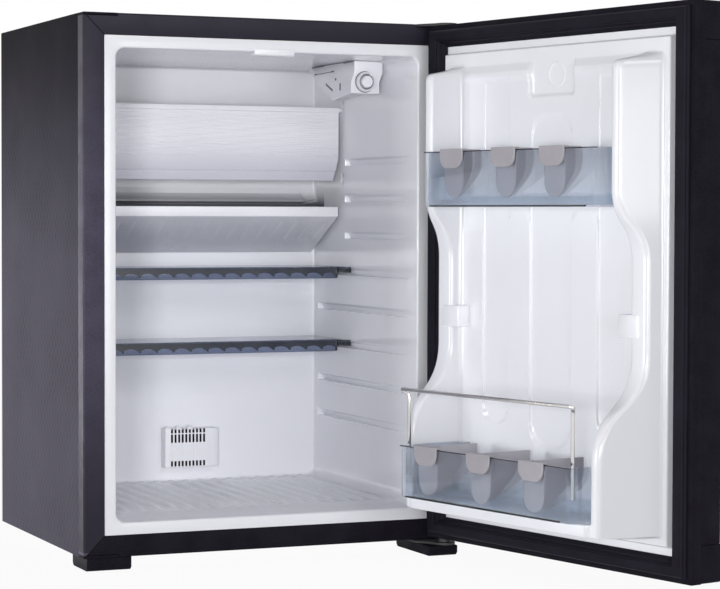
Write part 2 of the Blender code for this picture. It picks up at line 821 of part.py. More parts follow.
def hinge_blanks():
    """Covers that fill the unused hinge seats on the left."""
    for name, low, high in (
        ("hinge_blank_top", CABINET_HEIGHT - HINGE_PLATE, CABINET_HEIGHT),
        ("hinge_blank_bottom", 0.0, HINGE_PLATE),
    ):
        block(name, (CLEARANCE, 0.0, low), (BLANK_WIDTH + CLEARANCE, FRAME_RETURN, high),
              FINISH["black_plastic"], "cabinet")


def foot_outline(left, right, bottom, top):
    """Side profile of a foot with its lower edges chamfered."""
    return [
        (left, top),
        (left, bottom + FOOT_CHAMFER),
        (left + FOOT_CHAMFER, bottom),
        (right - FOOT_CHAMFER, bottom),
        (right, bottom + FOOT_CHAMFER),
        (right, top),
    ]


def feet():
    """Three block feet under the cabinet and the larger one that carries the door's hinge."""
    rear = CABINET_DEPTH - FOOT_INSET - FOOT_DEPTH
    places = (
        ("foot_front_left", FOOT_INSET, FOOT_INSET),
        ("foot_rear_left", REAR_FOOT_INSET, rear),
        ("foot_rear_right", CABINET_WIDTH - REAR_FOOT_INSET - FOOT_WIDTH, rear),
    )
    for name, left, front in places:
        outline = foot_outline(front, front + FOOT_DEPTH, -FOOT_HEIGHT, -CLEARANCE)
        prism(name, outline, "X", left, left + FOOT_WIDTH, FINISH["black_plastic"], "cabinet")
    outline = foot_outline(PLACE["axis_y"] - HINGE_NOSE + FOOT_CHAMFER, FOOT_INSET + FOOT_DEPTH,
                           -FOOT_HEIGHT, -HINGE_PLATE - 2.0 * CLEARANCE)
    prism("hinge_foot", outline, "X", CABINET_WIDTH - HINGE_PLATE_WIDTH + FOOT_CHAMFER,
          CABINET_WIDTH - CLEARANCE, FINISH["black_plastic"], "cabinet")


def hinge_plate_outline(back):
    """Plan of a hinge plate: straight under the cabinet, drawn in to a round nose at the pin."""
    left = CABINET_WIDTH - HINGE_PLATE_WIDTH - CLEARANCE
    right = CABINET_WIDTH - CLEARANCE
    centre = (PLACE["axis_x"], PLACE["axis_y"])
    radius = min(HINGE_NOSE, HINGE_INSET) - CLEARANCE
    points = [(right, back), (left, back), (left, -CLEARANCE)]
    for step in range(CORNER_STEPS * 2 + 1):
        angle = math.radians(180.0 + 180.0 * step / (CORNER_STEPS * 2))
        points.append((centre[0] + radius * math.cos(angle), centre[1] + radius * math.sin(angle)))
    return points


def hinges():
    """Upper and lower hinge plates, each with its pin; the lower pin has a shoulder."""
    centre = (PLACE["axis_x"], PLACE["axis_y"])
    low = CABINET_HEIGHT - HINGE_PLATE
    upper = prism("upper_hinge", hinge_plate_outline(FRAME_RETURN), "Z", low, CABINET_HEIGHT,
                  FINISH["unit_black"], "cabinet")
    pin = turned("pin", [(PIN_RADIUS * 0.7, PLACE["door_top"] - PIN_ENGAGEMENT),
                         (PIN_RADIUS, PLACE["door_top"] - PIN_ENGAGEMENT + PIN_RADIUS * 0.3),
                         (PIN_RADIUS, low + HINGE_PLATE / 2.0)],
                 "Z", centre, FINISH["unit_black"], "cabinet")
    join(upper, [pin])
    top = -CLEARANCE
    lower = prism("lower_hinge", hinge_plate_outline(FOOT_INSET + FOOT_DEPTH), "Z",
                  top - HINGE_PLATE, top, FINISH["unit_black"], "cabinet")
    shoulder = DOOR_BOTTOM - CLEARANCE
    pin = turned("pin", [(PIN_RADIUS * 1.8, top - HINGE_PLATE / 2.0),
                         (PIN_RADIUS * 1.8, shoulder),
                         (PIN_RADIUS, shoulder),
                         (PIN_RADIUS, DOOR_BOTTOM + PIN_ENGAGEMENT - PIN_RADIUS * 0.3),
                         (PIN_RADIUS * 0.7, DOOR_BOTTOM + PIN_ENGAGEMENT)],
                 "Z", centre, FINISH["unit_black"], "cabinet")
    join(lower, [pin])


def lock_catch():
    """White block that wraps round the front edge of the ceiling, near its middle."""
    half = CATCH_WIDTH / 2.0
    middle = PLACE["centre"] + CATCH_OFFSET
    top = PLACE["ceiling"] - CLEARANCE
    face = RIM_SETBACK - CLEARANCE
    bend = MOUTH_FILLET * (1.0 - math.cos(math.radians(45.0)))
    outline = [
        (face, top + MOUTH_FILLET),
        (face + bend, top + bend),
        (RIM_SETBACK + MOUTH_FILLET, top),
        (CATCH_DEPTH, top),
        (CATCH_DEPTH - CATCH_HEIGHT / 2.0, top - CATCH_HEIGHT),
        (CATCH_HEIGHT / 3.0, top - CATCH_HEIGHT),
        (-CATCH_HEIGHT / 4.0, top - CATCH_HEIGHT / 2.0),
        (-CATCH_HEIGHT / 4.0, top + MOUTH_FILLET),
    ]
    prism("lock_catch", outline, "X", middle - half, middle + half, FINISH["white_plastic"],
          "cabinet")


# Inside the cabinet

def evaporator():
    """Cold plate on the back wall with upright fins."""
    half = EVAPORATOR_WIDTH / 2.0
    back = PLACE["back"] - CLEARANCE
    plate_front = back - EVAPORATOR_PLATE
    pitch = (EVAPORATOR_WIDTH - EVAPORATOR_FIN_WALL) / (EVAPORATOR_FINS - 1)
    left = PLACE["centre"] - half
    outline = [(left + EVAPORATOR_WIDTH, back), (left, back)]
    for index in range(EVAPORATOR_FINS):
        start = left + index * pitch
        end = start + EVAPORATOR_FIN_WALL
        if index:
            outline.append((start, plate_front))
        outline.append((start, plate_front - EVAPORATOR_FIN_DEPTH))
        outline.append((end, plate_front - EVAPORATOR_FIN_DEPTH))
        if index < EVAPORATOR_FINS - 1:
            outline.append((end, plate_front))
    low = PLACE["evaporator_bottom"]
    prism("evaporator", outline, "Z", low, low + EVAPORATOR_HEIGHT, FINISH["cold_aluminium"],
          "cabinet")


def freezer_flap():
    """White flap in front of the evaporator, bent back at its foot, with its pivot pins."""
    front, wall = PLACE["flap_front"], FLAP_WALL
    lip = PLACE["flap_top"] - FLAP_LIP_HEIGHT
    outline = [
        (front - FLAP_LIP_REACH, PLACE["flap_top"]),
        (front - FLAP_LIP_REACH, lip),
        (front, lip),
        (front, PLACE["flap_bend"]),
        (front + FLAP_LEAN, PLACE["flap_bottom"]),
        (front + FLAP_LEAN + wall, PLACE["flap_bottom"]),
        (front + wall, PLACE["flap_bend"]),
        (front + wall, PLACE["flap_top"]),
    ]
    left = PLACE["left"] + FLAP_SIDE_GAP
    right = PLACE["right"] - FLAP_SIDE_GAP
    white = FINISH["white_plastic"]
    flap = prism("freezer_flap", outline, "X", left, right, white, "freezer_flap")
    reach = LINER_WALL - CLEARANCE * 3.0
    rod = turned("rod", [(FLAP_PIN_RADIUS, PLACE["left"] - reach),
                         (FLAP_PIN_RADIUS, PLACE["right"] + reach)],
                 "X", flap_axis(), white, "freezer_flap", 12)
    join(flap, [rod])
    corners = []
    for edge, direction in ((left, 1.0), (right, -1.0)):
        outline = [
            (edge - direction * wall, PLACE["flap_bottom"] - wall),
            (edge + direction * FLAP_CORNER_WIDTH, PLACE["flap_bottom"] - wall),
            (edge + direction * FLAP_CORNER_WIDTH, PLACE["flap_bottom"]),
            (edge, PLACE["flap_bottom"] + FLAP_CORNER_HEIGHT),
            (edge - direction * wall, PLACE["flap_bottom"] + FLAP_CORNER_HEIGHT),
        ]
        corners.append(prism("corner", outline, "Y", front - wall, front + FLAP_LEAN + 2.0 * wall,
                             white, "freezer_flap"))
    cut(flap, corners)


def drip_tray():
    """Pan whose floor falls to the back, with a front lip and side flanges."""
    back = PLACE["back"] - SHELF_BACK_GAP
    top = PLACE["tray_top"]
    lip_bottom = top - TRAY_LIP_HEIGHT
    outer = [
        (PLACE["flap_front"], top),
        (PLACE["flap_front"], lip_bottom),
        (PLACE["flap_front"] + TRAY_WALL, top - TRAY_FRONT_DEPTH),
        (back, PLACE["tray_bottom"]),
        (back, top),
    ]
    inner = [
        (PLACE["flap_front"] + 2.0 * TRAY_WALL, top + TRAY_WALL),
        (PLACE["flap_front"] + 2.0 * TRAY_WALL, top - TRAY_FRONT_DEPTH + TRAY_WALL),
        (back - TRAY_WALL, PLACE["tray_bottom"] + TRAY_WALL * 1.6),
        (back - TRAY_WALL, top + TRAY_WALL),
    ]
    left = PLACE["left"] + TRAY_SIDE_GAP
    right = PLACE["right"] - TRAY_SIDE_GAP
    white = FINISH["white_plastic"]
    tray = prism("drip_tray", outer, "X", left, right, white, "drip_tray")
    cut(tray, [prism("hollow", inner, "X", left + TRAY_WALL, right - TRAY_WALL, white, "drip_tray")])
    flanges = []
    low = tray_flange_bottom()
    for edge, direction in ((left, -1.0), (right, 1.0)):
        side_a, side_b = sorted((edge - direction * TRAY_WALL / 2.0,
                                 edge + direction * (TRAY_SIDE_GAP - CLEARANCE * 2.0)))
        flanges.append(block("flange", (side_a, PLACE["flap_front"] + TRAY_LIP_HEIGHT, low),
                             (side_b, back, low + TRAY_FLANGE), white, "drip_tray"))
    join(tray, flanges)


def shelves():
    """Two smoky shelves on their runners."""
    for name, level in (("shelf_upper", SHELF_UPPER_LEVEL), ("shelf_lower", SHELF_LOWER_LEVEL)):
        seat = runner_level(level) + RUNNER_HEIGHT / 2.0 + CLEARANCE
        back = PLACE["back"] - SHELF_BACK_GAP
        front = back - SHELF_DEPTH
        left = PLACE["left"] + SHELF_SIDE_GAP
        right = PLACE["right"] - SHELF_SIDE_GAP
        arm = RUNNER_STOP_REACH
        outline = [
            (left, back),
            (left, front - SHELF_ARM_REACH),
            (left + arm, front - SHELF_ARM_REACH),
            (left + arm, front),
            (right - arm, front),
            (right - arm, front - SHELF_ARM_REACH),
            (right, front - SHELF_ARM_REACH),
            (right, back),
        ]
        blue = FINISH["blue_clear"]
        shelf = prism(name, outline, "Z", seat, seat + SHELF_PLATE, blue, name)
        top = seat + SHELF_PLATE
        lip = block("lip", (left + arm + CLEARANCE, front, top - SHELF_LIP_HEIGHT),
                    (right - arm - CLEARANCE, front + SHELF_LIP_WALL, top - SHELF_PLATE / 2.0),
                    blue, name)
        join(shelf, [lip])


def housing_points():
    """Corners of the lamp housing's side profile, as (depth, height)."""
    top = PLACE["ceiling"] - CLEARANCE
    front = HOUSING_FRONT
    bottom = top - HOUSING_FRONT_HEIGHT
    keel = (front + HOUSING_KEEL_BACK, bottom - HOUSING_KEEL_DROP)
    rear = (front + HOUSING_LENGTH, top - HOUSING_REAR_HEIGHT)
    return top, front, bottom, keel, rear


def lens_window(outward, inward):
    """The window in the housing's sloping underside, as four points with two depths."""
    keel, rear = (Vector(point) for point in housing_points()[3:])
    along = (rear - keel).normalized()
    inside = Vector((-along.y, along.x))
    start = keel + along * LENS_MARGIN
    end = rear - along * LENS_MARGIN
    return [start - inside * outward, end - inside * outward,
            end + inside * inward, start + inside * inward]


def housing_sides():
    """Left and right faces of the lamp housing."""
    right = PLACE["right"] - HOUSING_GAP
    return right - HOUSING_WIDTH, right


def corner_waste(inset):
    """Cutter that rounds a piece off to the cavity's upper right corner, an inset away from it."""
    centre = (PLACE["right"] - CAVITY_CORNER, PLACE["ceiling"] - CAVITY_CORNER)
    radius = CAVITY_CORNER - inset
    outline = []
    for step in range(CORNER_STEPS + 1):
        angle = math.radians(90.0 * step / CORNER_STEPS)
        outline.append((centre[0] + radius * math.cos(angle), centre[1] + radius * math.sin(angle)))
    far = 2.0 * CAVITY_CORNER
    outline += [(centre[0], centre[1] + far), (centre[0] + far, centre[1] + far),
                (centre[0] + far, centre[1])]
    start, end = HOUSING_FRONT - CAVITY_CORNER, HOUSING_FRONT + HOUSING_LENGTH + CAVITY_CORNER
    return prism("waste", outline, "Y", start, end, FINISH["foam"], "cabinet")


def shoulder_waste(at_left):
    """Cutter that sets the housing's upper left or its lower right a step back."""
    left, right = housing_sides()
    top = housing_points()[0]
    high, low = top - HOUSING_STEP_TOP, top - HOUSING_STEP_BOTTOM
    far = 2.0 * HOUSING_FRONT_HEIGHT
    if at_left:
        inner, outer, end = left + HOUSING_STEP, left - HOUSING_STEP, top + HOUSING_STEP
        outline = [(inner, end), (inner, high), (left, low), (outer, low), (outer, end)]
    else:
        inner, outer, end = right - HOUSING_STEP, right + HOUSING_STEP, top - far
        outline = [(inner, end), (inner, low), (right, high), (outer, high), (outer, end)]
    return prism("waste", outline, "Y", HOUSING_FRONT - HOUSING_STEP,
                 HOUSING_FRONT + HOUSING_LENGTH + HOUSING_STEP, FINISH["foam"], "cabinet")


def lamp_housing():
    """White housing under the ceiling: thermostat in its solid nose, lamp in its hollow rear."""
    top, front, bottom, keel, rear = housing_points()
    left, right = housing_sides()
    white = FINISH["white_plastic"]
    outline = [(front, top), (front, bottom), keel, rear, (rear[0], top)]
    housing = prism("lamp_housing", outline, "X", left, right, white, "cabinet")
    wall = HOUSING_WALL
    window = lens_window(wall, 3.0 * LENS_WALL)
    nose = front + HOUSING_SOLID
    slope = HOUSING_KEEL_DROP * HOUSING_SOLID / HOUSING_KEEL_BACK
    hollow = [
        tuple(window[0]),
        tuple(window[1]),
        tuple(window[2]),
        (rear[0] - wall, top - 2.0 * wall),
        (rear[0] - wall, top - wall),
        (nose, top - wall),
        (nose, bottom - slope + 1.5 * wall),
        tuple(window[3]),
    ]
    inset = HOUSING_STEP + wall
    hollow = prism("hollow", hollow, "X", left + inset, right - inset, white, "cabinet")
    cut(hollow, [corner_waste(wall + CLEARANCE)])
    cut(housing, [hollow, corner_waste(CLEARANCE), shoulder_waste(True), shoulder_waste(False),
                  bore(knob_centre(), SPINDLE_RADIUS + CLEARANCE, "Y", front - wall,
                       front + SPINDLE_LENGTH + CLEARANCE, "cabinet", 12)])


def lamp_lens():
    """Clear cover in the housing's sloping underside."""
    left, right = housing_sides()
    keel, rear = (Vector(point) for point in housing_points()[3:])
    along = (rear - keel).normalized() * CLEARANCE
    corners = lens_window(0.0, LENS_WALL)
    outline = [corners[0] + along, corners[1] - along, corners[2] - along, corners[3] + along]
    inset = HOUSING_STEP + HOUSING_WALL + CLEARANCE
    prism("lamp_lens", [tuple(point) for point in outline], "X", left + inset, right - inset,
          FINISH["lamp_clear"], "cabinet")


def lamp_bulb():
    """Small bulb lying along the hollow, its cap against the solid nose."""
    top, front, bottom, _, _ = housing_points()
    left, right = housing_sides()
    centre = ((left + right) / 2.0, top - HOUSING_WALL - BULB_RADIUS - HOUSING_WALL * 2.5)
    start = front + HOUSING_SOLID + CLEARANCE
    radius = BULB_RADIUS
    profile = [
        (radius * 0.7, start),
        (radius * 0.7, start + BULB_LENGTH * 0.3),
        (radius, start + BULB_LENGTH * 0.5),
        (radius, start + BULB_LENGTH * 0.75),
        (radius * 0.7, start + BULB_LENGTH * 0.93),
        (radius * 0.25, start + BULB_LENGTH),
    ]
    turned("lamp_bulb", profile, "Y", centre, FINISH["lamp_clear"], "cabinet", 12)


def knob_centre():
    """Centre of the thermostat knob, as (across, height)."""
    left, _ = housing_sides()
    return (left + KNOB_FROM_LEFT, housing_points()[2] + KNOB_FROM_BOTTOM)


def thermostat_knob():
    """Round knob on the housing's front, with its spindle."""
    face = HOUSING_FRONT - CLEARANCE
    front = face - KNOB_DEPTH
    profile = [
        (KNOB_RADIUS * 0.80, front),
        (KNOB_RADIUS, front + KNOB_DEPTH * 0.25),
        (KNOB_RADIUS, face),
        (SPINDLE_RADIUS, face),
        (SPINDLE_RADIUS, face + SPINDLE_LENGTH),
    ]
    knob = turned("thermostat_knob", profile, "Y", knob_centre(), FINISH["white_plastic"],
                  "thermostat_knob")
    across, height = knob_centre()
    mark = block("mark", (across - KNOB_RADIUS * 0.08, front - KNOB_DEPTH * 0.2,
                          height + KNOB_RADIUS * 0.2),
                 (across + KNOB_RADIUS * 0.08, front + KNOB_DEPTH * 0.3,
                  height + KNOB_RADIUS * 0.75), FINISH["white_plastic"], "thermostat_knob")
    join(knob, [mark])


def vent_cover():
    """Slotted white cover on the back wall: a box, open at the back."""
    back = PLACE["back"] - CLEARANCE
    front = back - VENT_DEPTH + CLEARANCE
    right = VENT_LEFT + VENT_WIDTH
    top = VENT_BOTTOM + VENT_HEIGHT
    white = FINISH["white_plastic"]
    cover = block("vent_cover", (VENT_LEFT, front, VENT_BOTTOM), (right, back, top), white, "cabinet")
    wall = VENT_WALL
    tools = [block("hollow", (VENT_LEFT + wall, front + wall, VENT_BOTTOM + wall),
                   (right - wall, back + wall, top - wall), white, "cabinet")]
    for index in range(VENT_SLOTS):
        left = VENT_LEFT + VENT_SLOT_MARGIN + index * VENT_SLOT_PITCH
        slot_foot = VENT_BOTTOM + wall * 0.8
        for low, high in ((top - VENT_UPPER_SLOT, top + wall),
                          (slot_foot, slot_foot + VENT_LOWER_SLOT)):
            tools.append(block("slot", (left, front - wall, low),
                               (left + VENT_SLOT_WIDTH, front + wall * 1.5, high), white, "cabinet"))
    for tool in tools:
        cut(cover, [tool])


# Cooling unit

def unit_straps():
    """Two steel angles down the back that the cooling unit is welded to."""
    wall, start = UNIT_STRAP_WALL, CABINET_DEPTH + CLEARANCE
    end = PLACE["unit"] - CLEARANCE
    for name, centre, direction in (("unit_strap_left", LEFT_STRAP_X, 1.0),
                                    ("unit_strap_right", PLACE["boiler_x"], -1.0)):
        near = centre - direction * wall / 2.0
        outline = [
            (near, start),
            (near + direction * UNIT_STRAP_WIDTH, start),
            (near + direction * UNIT_STRAP_WIDTH, start + wall),
            (near + direction * wall, start + wall),
            (near + direction * wall, end),
            (near, end),
        ]
        prism(name, outline, "Z", STRAP_BOTTOM, PLACE["strap_top"], FINISH["unit_black"], "cabinet")


def boiler():
    """Upright jacket of the boiler, domed a little at both ends."""
    top = BOILER_BOTTOM + BOILER_HEIGHT
    radius = BOILER_RADIUS
    soft = radius * 0.15
    profile = [
        (radius - soft, BOILER_BOTTOM),
        (radius, BOILER_BOTTOM + soft),
        (radius, top - soft),
        (radius - soft, top),
    ]
    centre = (PLACE["boiler_x"], PLACE["boiler_y"])
    turned("boiler", profile, "Z", centre, FINISH["unit_black"], "cabinet", 20)


def absorber_tank():
    """Lying tank with round ends, and the pipe from it up to the boiler."""
    left, right = TANK_LEFT, PLACE["tank_right"]
    radius = TANK_RADIUS
    profile = [
        (radius * 0.45, left),
        (radius * 0.85, left + radius * 0.2),
        (radius, left + radius * 0.5),
        (radius, right - radius * 0.5),
        (radius * 0.85, right - radius * 0.2),
        (radius * 0.45, right),
    ]
    centre = (PLACE["tank_y"], TANK_Z)
    tank = turned("absorber_tank", profile, "X", centre, FINISH["unit_black"], "cabinet", 20)
    corners = [
        (right - radius * 0.5, PLACE["tank_y"], TANK_Z),
        (PLACE["boiler_x"], PLACE["tank_y"], TANK_Z),
        (PLACE["boiler_x"], PLACE["tank_y"], BOILER_BOTTOM - CLEARANCE),
    ]
    feed = pipe("feed", rounded_path(corners, RISER_RADIUS * 2.0), PIPE_RADIUS,
                FINISH["unit_black"], "cabinet")
    join(tank, [feed])


def absorber_coil():
    """Pipe that climbs from the tank in flat runs and ends under the evaporator's pipe."""
    depth = PLACE["pipe_y"]
    offset = depth - PLACE["tank_y"]
    start = TANK_Z + math.sqrt(TANK_RADIUS ** 2 - (abs(offset) - COIL_RADIUS) ** 2)
    slope = COIL_PITCH * 0.2
    corners = [(COIL_LEFT, depth, start + CLEARANCE * 2.0)]
    side, other = COIL_LEFT, PLACE["coil_right"]
    for run in range(COIL_RUNS):
        height = COIL_FIRST + run * COIL_PITCH
        corners.append((side, depth, height))
        corners.append((other, depth, height + slope))
        side, other = other, side
    corners.append((side, depth, PLACE["pipe_z"] - PIPE_RADIUS - CLEARANCE))
    pipe("absorber_coil", rounded_path(corners, COIL_PITCH * 0.4, 3), COIL_RADIUS,
         FINISH["unit_black"], "cabinet")


def condenser():
    """Finned pipe across the top of the unit."""
    centre = (PLACE["pipe_y"], PLACE["condenser_z"])
    tube = turned("condenser", [(CONDENSER_RADIUS, CONDENSER_LEFT),
                                (CONDENSER_RADIUS, PLACE["condenser_right"])],
                  "X", centre, FINISH["unit_black"], "cabinet", 12)
    half = FIN_SIZE / 2.0
    first = CONDENSER_LEFT + CONDENSER_BARE_END
    pitch = (PLACE["condenser_right"] - CONDENSER_BARE_END - first) / (CONDENSER_FINS - 1)
    fins = []
    for index in range(CONDENSER_FINS):
        middle = first + index * pitch
        low = (middle - FIN_WALL / 2.0, centre[0] - half, PLACE["condenser_z"] - half)
        high = (middle + FIN_WALL / 2.0, centre[0] + half, PLACE["condenser_z"] + half)
        fins.append(block("fin", low, high, FINISH["unit_black"], "cabinet"))
    join(tube, fins)


def riser_pipe():
    """Pipe from the boiler's top up and over into the condenser."""
    corners = [
        (PLACE["boiler_x"], PLACE["boiler_y"], BOILER_BOTTOM + BOILER_HEIGHT + CLEARANCE),
        (PLACE["boiler_x"], PLACE["boiler_y"], PLACE["condenser_z"] - RISER_RADIUS * 5.0),
        (PLACE["boiler_x"], PLACE["pipe_y"], PLACE["condenser_z"] - RISER_RADIUS * 3.0),
        (PLACE["boiler_x"], PLACE["pipe_y"], PLACE["condenser_z"]),
        (PLACE["condenser_right"] + CLEARANCE, PLACE["pipe_y"], PLACE["condenser_z"]),
    ]
    pipe("riser_pipe", rounded_path(corners, RISER_RADIUS * 1.3, 3), RISER_RADIUS,
         FINISH["unit_black"], "cabinet")


def evaporator_pipe():
    """Pipe from the condenser's far end through the back of the cabinet to the cold plate."""
    depth = PLACE["pipe_y"]
    left = CONDENSER_LEFT - PIPE_RADIUS * 4.0
    corners = [
        (CONDENSER_LEFT - CLEARANCE, depth, PLACE["condenser_z"]),
        (left, depth, PLACE["condenser_z"]),
        (left, depth, PLACE["pipe_z"]),
        (PLACE["centre"], depth, PLACE["pipe_z"]),
        (PLACE["centre"], PLACE["back"], PLACE["pipe_z"]),
    ]
    pipe("evaporator_pipe", rounded_path(corners, PIPE_RADIUS * 2.5, 3), PIPE_RADIUS,
         FINISH["unit_black"], "cabinet")


def control_box():
    """Terminal box at the lower right, with the gland that the mains lead enters by."""
    right = CABINET_WIDTH - FOOT_INSET
    left = right - CONTROL_BOX_WIDTH
    start = CABINET_DEPTH + CLEARANCE
    outline = rounded_rectangle(left, right, CONTROL_BOX_BOTTOM,
                                CONTROL_BOX_BOTTOM + CONTROL_BOX_HEIGHT, FOOT_CHAMFER, 2)
    prism("control_box", outline, "Y", start, start + CONTROL_BOX_DEPTH, FINISH["black_plastic"],
          "cabinet")
    top = CONTROL_BOX_BOTTOM - CLEARANCE
    profile = [
        (INLET_RADIUS, top),
        (INLET_RADIUS, top - INLET_LENGTH * 0.4),
        (INLET_RADIUS * 0.7, top - INLET_LENGTH * 0.5),
        (INLET_RADIUS * 0.6, top - INLET_LENGTH),
    ]
    turned("power_inlet", profile, "Z", ((left + right) / 2.0, start + CONTROL_BOX_DEPTH / 2.0),
           FINISH["black_plastic"], "cabinet", 12)


# Door

def door_bounds(inset=0.0, ratio=1.0):
    """Left, right, bottom and top of the shut door, drawn in at the sides and, by a ratio of
    that, at the top and the bottom."""
    rise = inset * ratio
    return (inset, CABINET_WIDTH - inset, DOOR_BOTTOM + rise, PLACE["door_top"] - rise)


def door_panel():
    """Decor sheet between the trims."""
    left, right, bottom, top = door_bounds(TRIM_WIDTH + CLEARANCE)
    front = PLACE["door_outer"]
    block("door_panel", (left, front, bottom), (right, front + PANEL_SHEET, top),
          FINISH["side_steel"], "door")


def boss_box(top_boss, margin, body="door"):
    """Block round the hinge axis in a hinge-side corner cap."""
    half = BOSS_HALF + margin
    low_z = PLACE["door_top"] - BOSS_HEIGHT - margin if top_boss else DOOR_BOTTOM - margin
    high_z = low_z + BOSS_HEIGHT + 2.0 * margin
    low = (PLACE["axis_x"] - half, PLACE["axis_y"] - half, low_z)
    high = (PLACE["axis_x"] + half, PLACE["axis_y"] + half, high_z)
    return block("boss", low, high, FINISH["black_plastic"], body)


def door_foam():
    """Insulation of the door, stepped to fit inside the trims and the inner frame."""
    outer = TRIM_WIDTH + CLEARANCE
    inner = PLACE["liner_edge"]
    rings = []
    for depth, inset, ratio in (
        (PLACE["door_outer"] + PANEL_SHEET + CLEARANCE, outer, 1.0),
        (PLACE["frame_back"] - CLEARANCE, outer, 1.0),
        (PLACE["frame_back"] - CLEARANCE, inner, RING_RATIO),
        (PLACE["flange"] - DOOR_LINER_WALL - CLEARANCE, inner, RING_RATIO),
    ):
        left, right, bottom, top = door_bounds(inset, ratio)
        rings.append([(a, depth, b) for a, b in rectangle(left, right, bottom, top)])
    foam = loft("door_foam", rings, FINISH["foam"], "door")
    cut(foam, [boss_box(True, CLEARANCE), boss_box(False, CLEARANCE)])


def door_trims():
    """Edge profiles between the corner caps, soft along their outer front edge."""
    front, back = PLACE["door_outer"], PLACE["frame_back"] - CLEARANCE
    soft = TRIM_WIDTH / 3.0
    left, right, bottom, top = door_bounds()
    section = [(0.0, front + soft), (soft, front), (TRIM_WIDTH, front), (TRIM_WIDTH, back), (0.0, back)]
    gap = CLEARANCE
    black = FINISH["black_plastic"]
    for name, edge, direction in (("door_trim_free_side", left, 1.0),
                                  ("door_trim_hinge_side", right, -1.0)):
        outline = [(edge + direction * inward, depth) for inward, depth in section]
        prism(name, outline, "Z", bottom + CAP_HEIGHT + gap, top - CAP_HEIGHT - gap, black, "door")
    for name, edge, direction in (("door_trim_bottom", bottom, 1.0), ("door_trim_top", top, -1.0)):
        outline = [(depth, edge + direction * inward) for inward, depth in section]
        prism(name, outline, "X", left + CAP_LENGTH + gap, right - CAP_LENGTH - gap, black, "door")


def door_caps():
    """Moulded corner caps; the two on the hinge side hold the bores that the pins turn in."""
    left, right, bottom, top = door_bounds()
    front, back = PLACE["door_outer"], PLACE["frame_back"] - CLEARANCE
    wall = TRIM_WIDTH
    black = FINISH["black_plastic"]
    for name, edge, across, end, upward in (
        ("door_cap_free_top", left, 1.0, top, -1.0),
        ("door_cap_free_bottom", left, 1.0, bottom, 1.0),
        ("door_cap_hinge_top", right, -1.0, top, -1.0),
        ("door_cap_hinge_bottom", right, -1.0, bottom, 1.0),
    ):
        soft = wall / 3.0
        outline = [
            (edge + across * soft, end),
            (edge + across * CAP_LENGTH, end),
            (edge + across * CAP_LENGTH, end + upward * wall),
            (edge + across * wall, end + upward * wall),
            (edge + across * wall, end + upward * CAP_HEIGHT),
            (edge, end + upward * CAP_HEIGHT),
            (edge, end + upward * soft),
        ]
        cap = prism(name, outline, "Y", front, back, black, "door")
        if across < 0.0:
            join(cap, [boss_box(upward < 0.0, 0.0)])
            deep = end + upward * (PIN_ENGAGEMENT + PIN_CLEARANCE)
            start, stop = sorted((end - upward * wall, deep))
            cut(cap, [bore((PLACE["axis_x"], PLACE["axis_y"]), PIN_RADIUS + PIN_CLEARANCE, "Z",
                           start, stop, "door")])


def door_inner_frame():
    """Black ring round the inside of the door that carries the gasket."""
    back, front = PLACE["frame_back"], PLACE["door_inner"]
    rings = []
    for depth, inset in ((back, 0.0), (front, 0.0), (front, INNER_FRAME_WIDTH),
                         (back, INNER_FRAME_WIDTH)):
        left, right, bottom, top = door_bounds(inset, RING_RATIO)
        rings.append([(a, depth, b) for a, b in rectangle(left, right, bottom, top)])
    vertices = [point for ring in rings for point in ring]
    faces = loft_faces(4, 4, closed_ends=False)
    faces += [(12 + step, 12 + (step + 1) % 4, (step + 1) % 4, step) for step in range(4)]
    frame = solid("door_inner_frame", vertices, faces, FINISH["black_plastic"], "door")
    cut(frame, [boss_box(True, CLEARANCE), boss_box(False, CLEARANCE)])


def gasket():
    """Magnetic seal: a soft ring whose flat face meets the cabinet's frame."""
    gap = CLEARANCE
    shallow = PLACE["door_inner"] + gap
    deep = PLACE["flange"] + gap
    step = INNER_FRAME_WIDTH + 2.0 * gap
    section = [
        (GASKET_OUTER, shallow),
        (GASKET_OUTER, shallow * 0.45),
        (GASKET_OUTER + GASKET_FLAT * 0.45, -gap),
        (GASKET_OUTER + GASKET_FLAT * 1.3, -gap),
        (step + gap, shallow * 0.5),
        (GASKET_INNER, deep + gap * 6.0),
        (GASKET_INNER, deep),
        (step, deep),
        (step, shallow),
    ]
    count = len(section)
    vertices = []
    for inset, depth in section:
        left, right, bottom, top = door_bounds(inset, RING_RATIO)
        vertices += [(a, depth, b) for a, b in rectangle(left, right, bottom, top)]
    faces = []
    for index in range(count):
        low, high = index * 4, ((index + 1) % count) * 4
        faces += [(low + s, low + (s + 1) % 4, high + (s + 1) % 4, high + s) for s in range(4)]
    solid("gasket", vertices, faces, FINISH["seal_rubber"], "door")


def lobe_share(height, start, end):
    """How far the side walls have gone from one level to the next, eased at both ends."""
    t = (height - start) / (end - start)
    return t * t * (3.0 - 2.0 * t)


def liner_row(height, platform, rise, base, share=1.0):
    """One level of the door liner, from the free side to the hinge side."""
    flange = PLACE["flange"]
    top_outer = WALL_TOP_OUTER + WALL_TOP_DRIFT * share
    half = [
        (PLACE["liner_edge"], 0.0),
        (GASKET_INNER + 4.0 * CLEARANCE, 0.0),
        (PLATFORM_INSET, platform),
        (WALL_FOOT_OUTER, platform),
        (top_outer, rise),
        (WALL_TOP_INNER, rise),
        (WALL_FOOT_INNER, base),
    ]
    row = [(inset, flange + up, height) for inset, up in half]
    row += [(CABINET_WIDTH - inset, flange + up, height) for inset, up in reversed(half)]
    return row


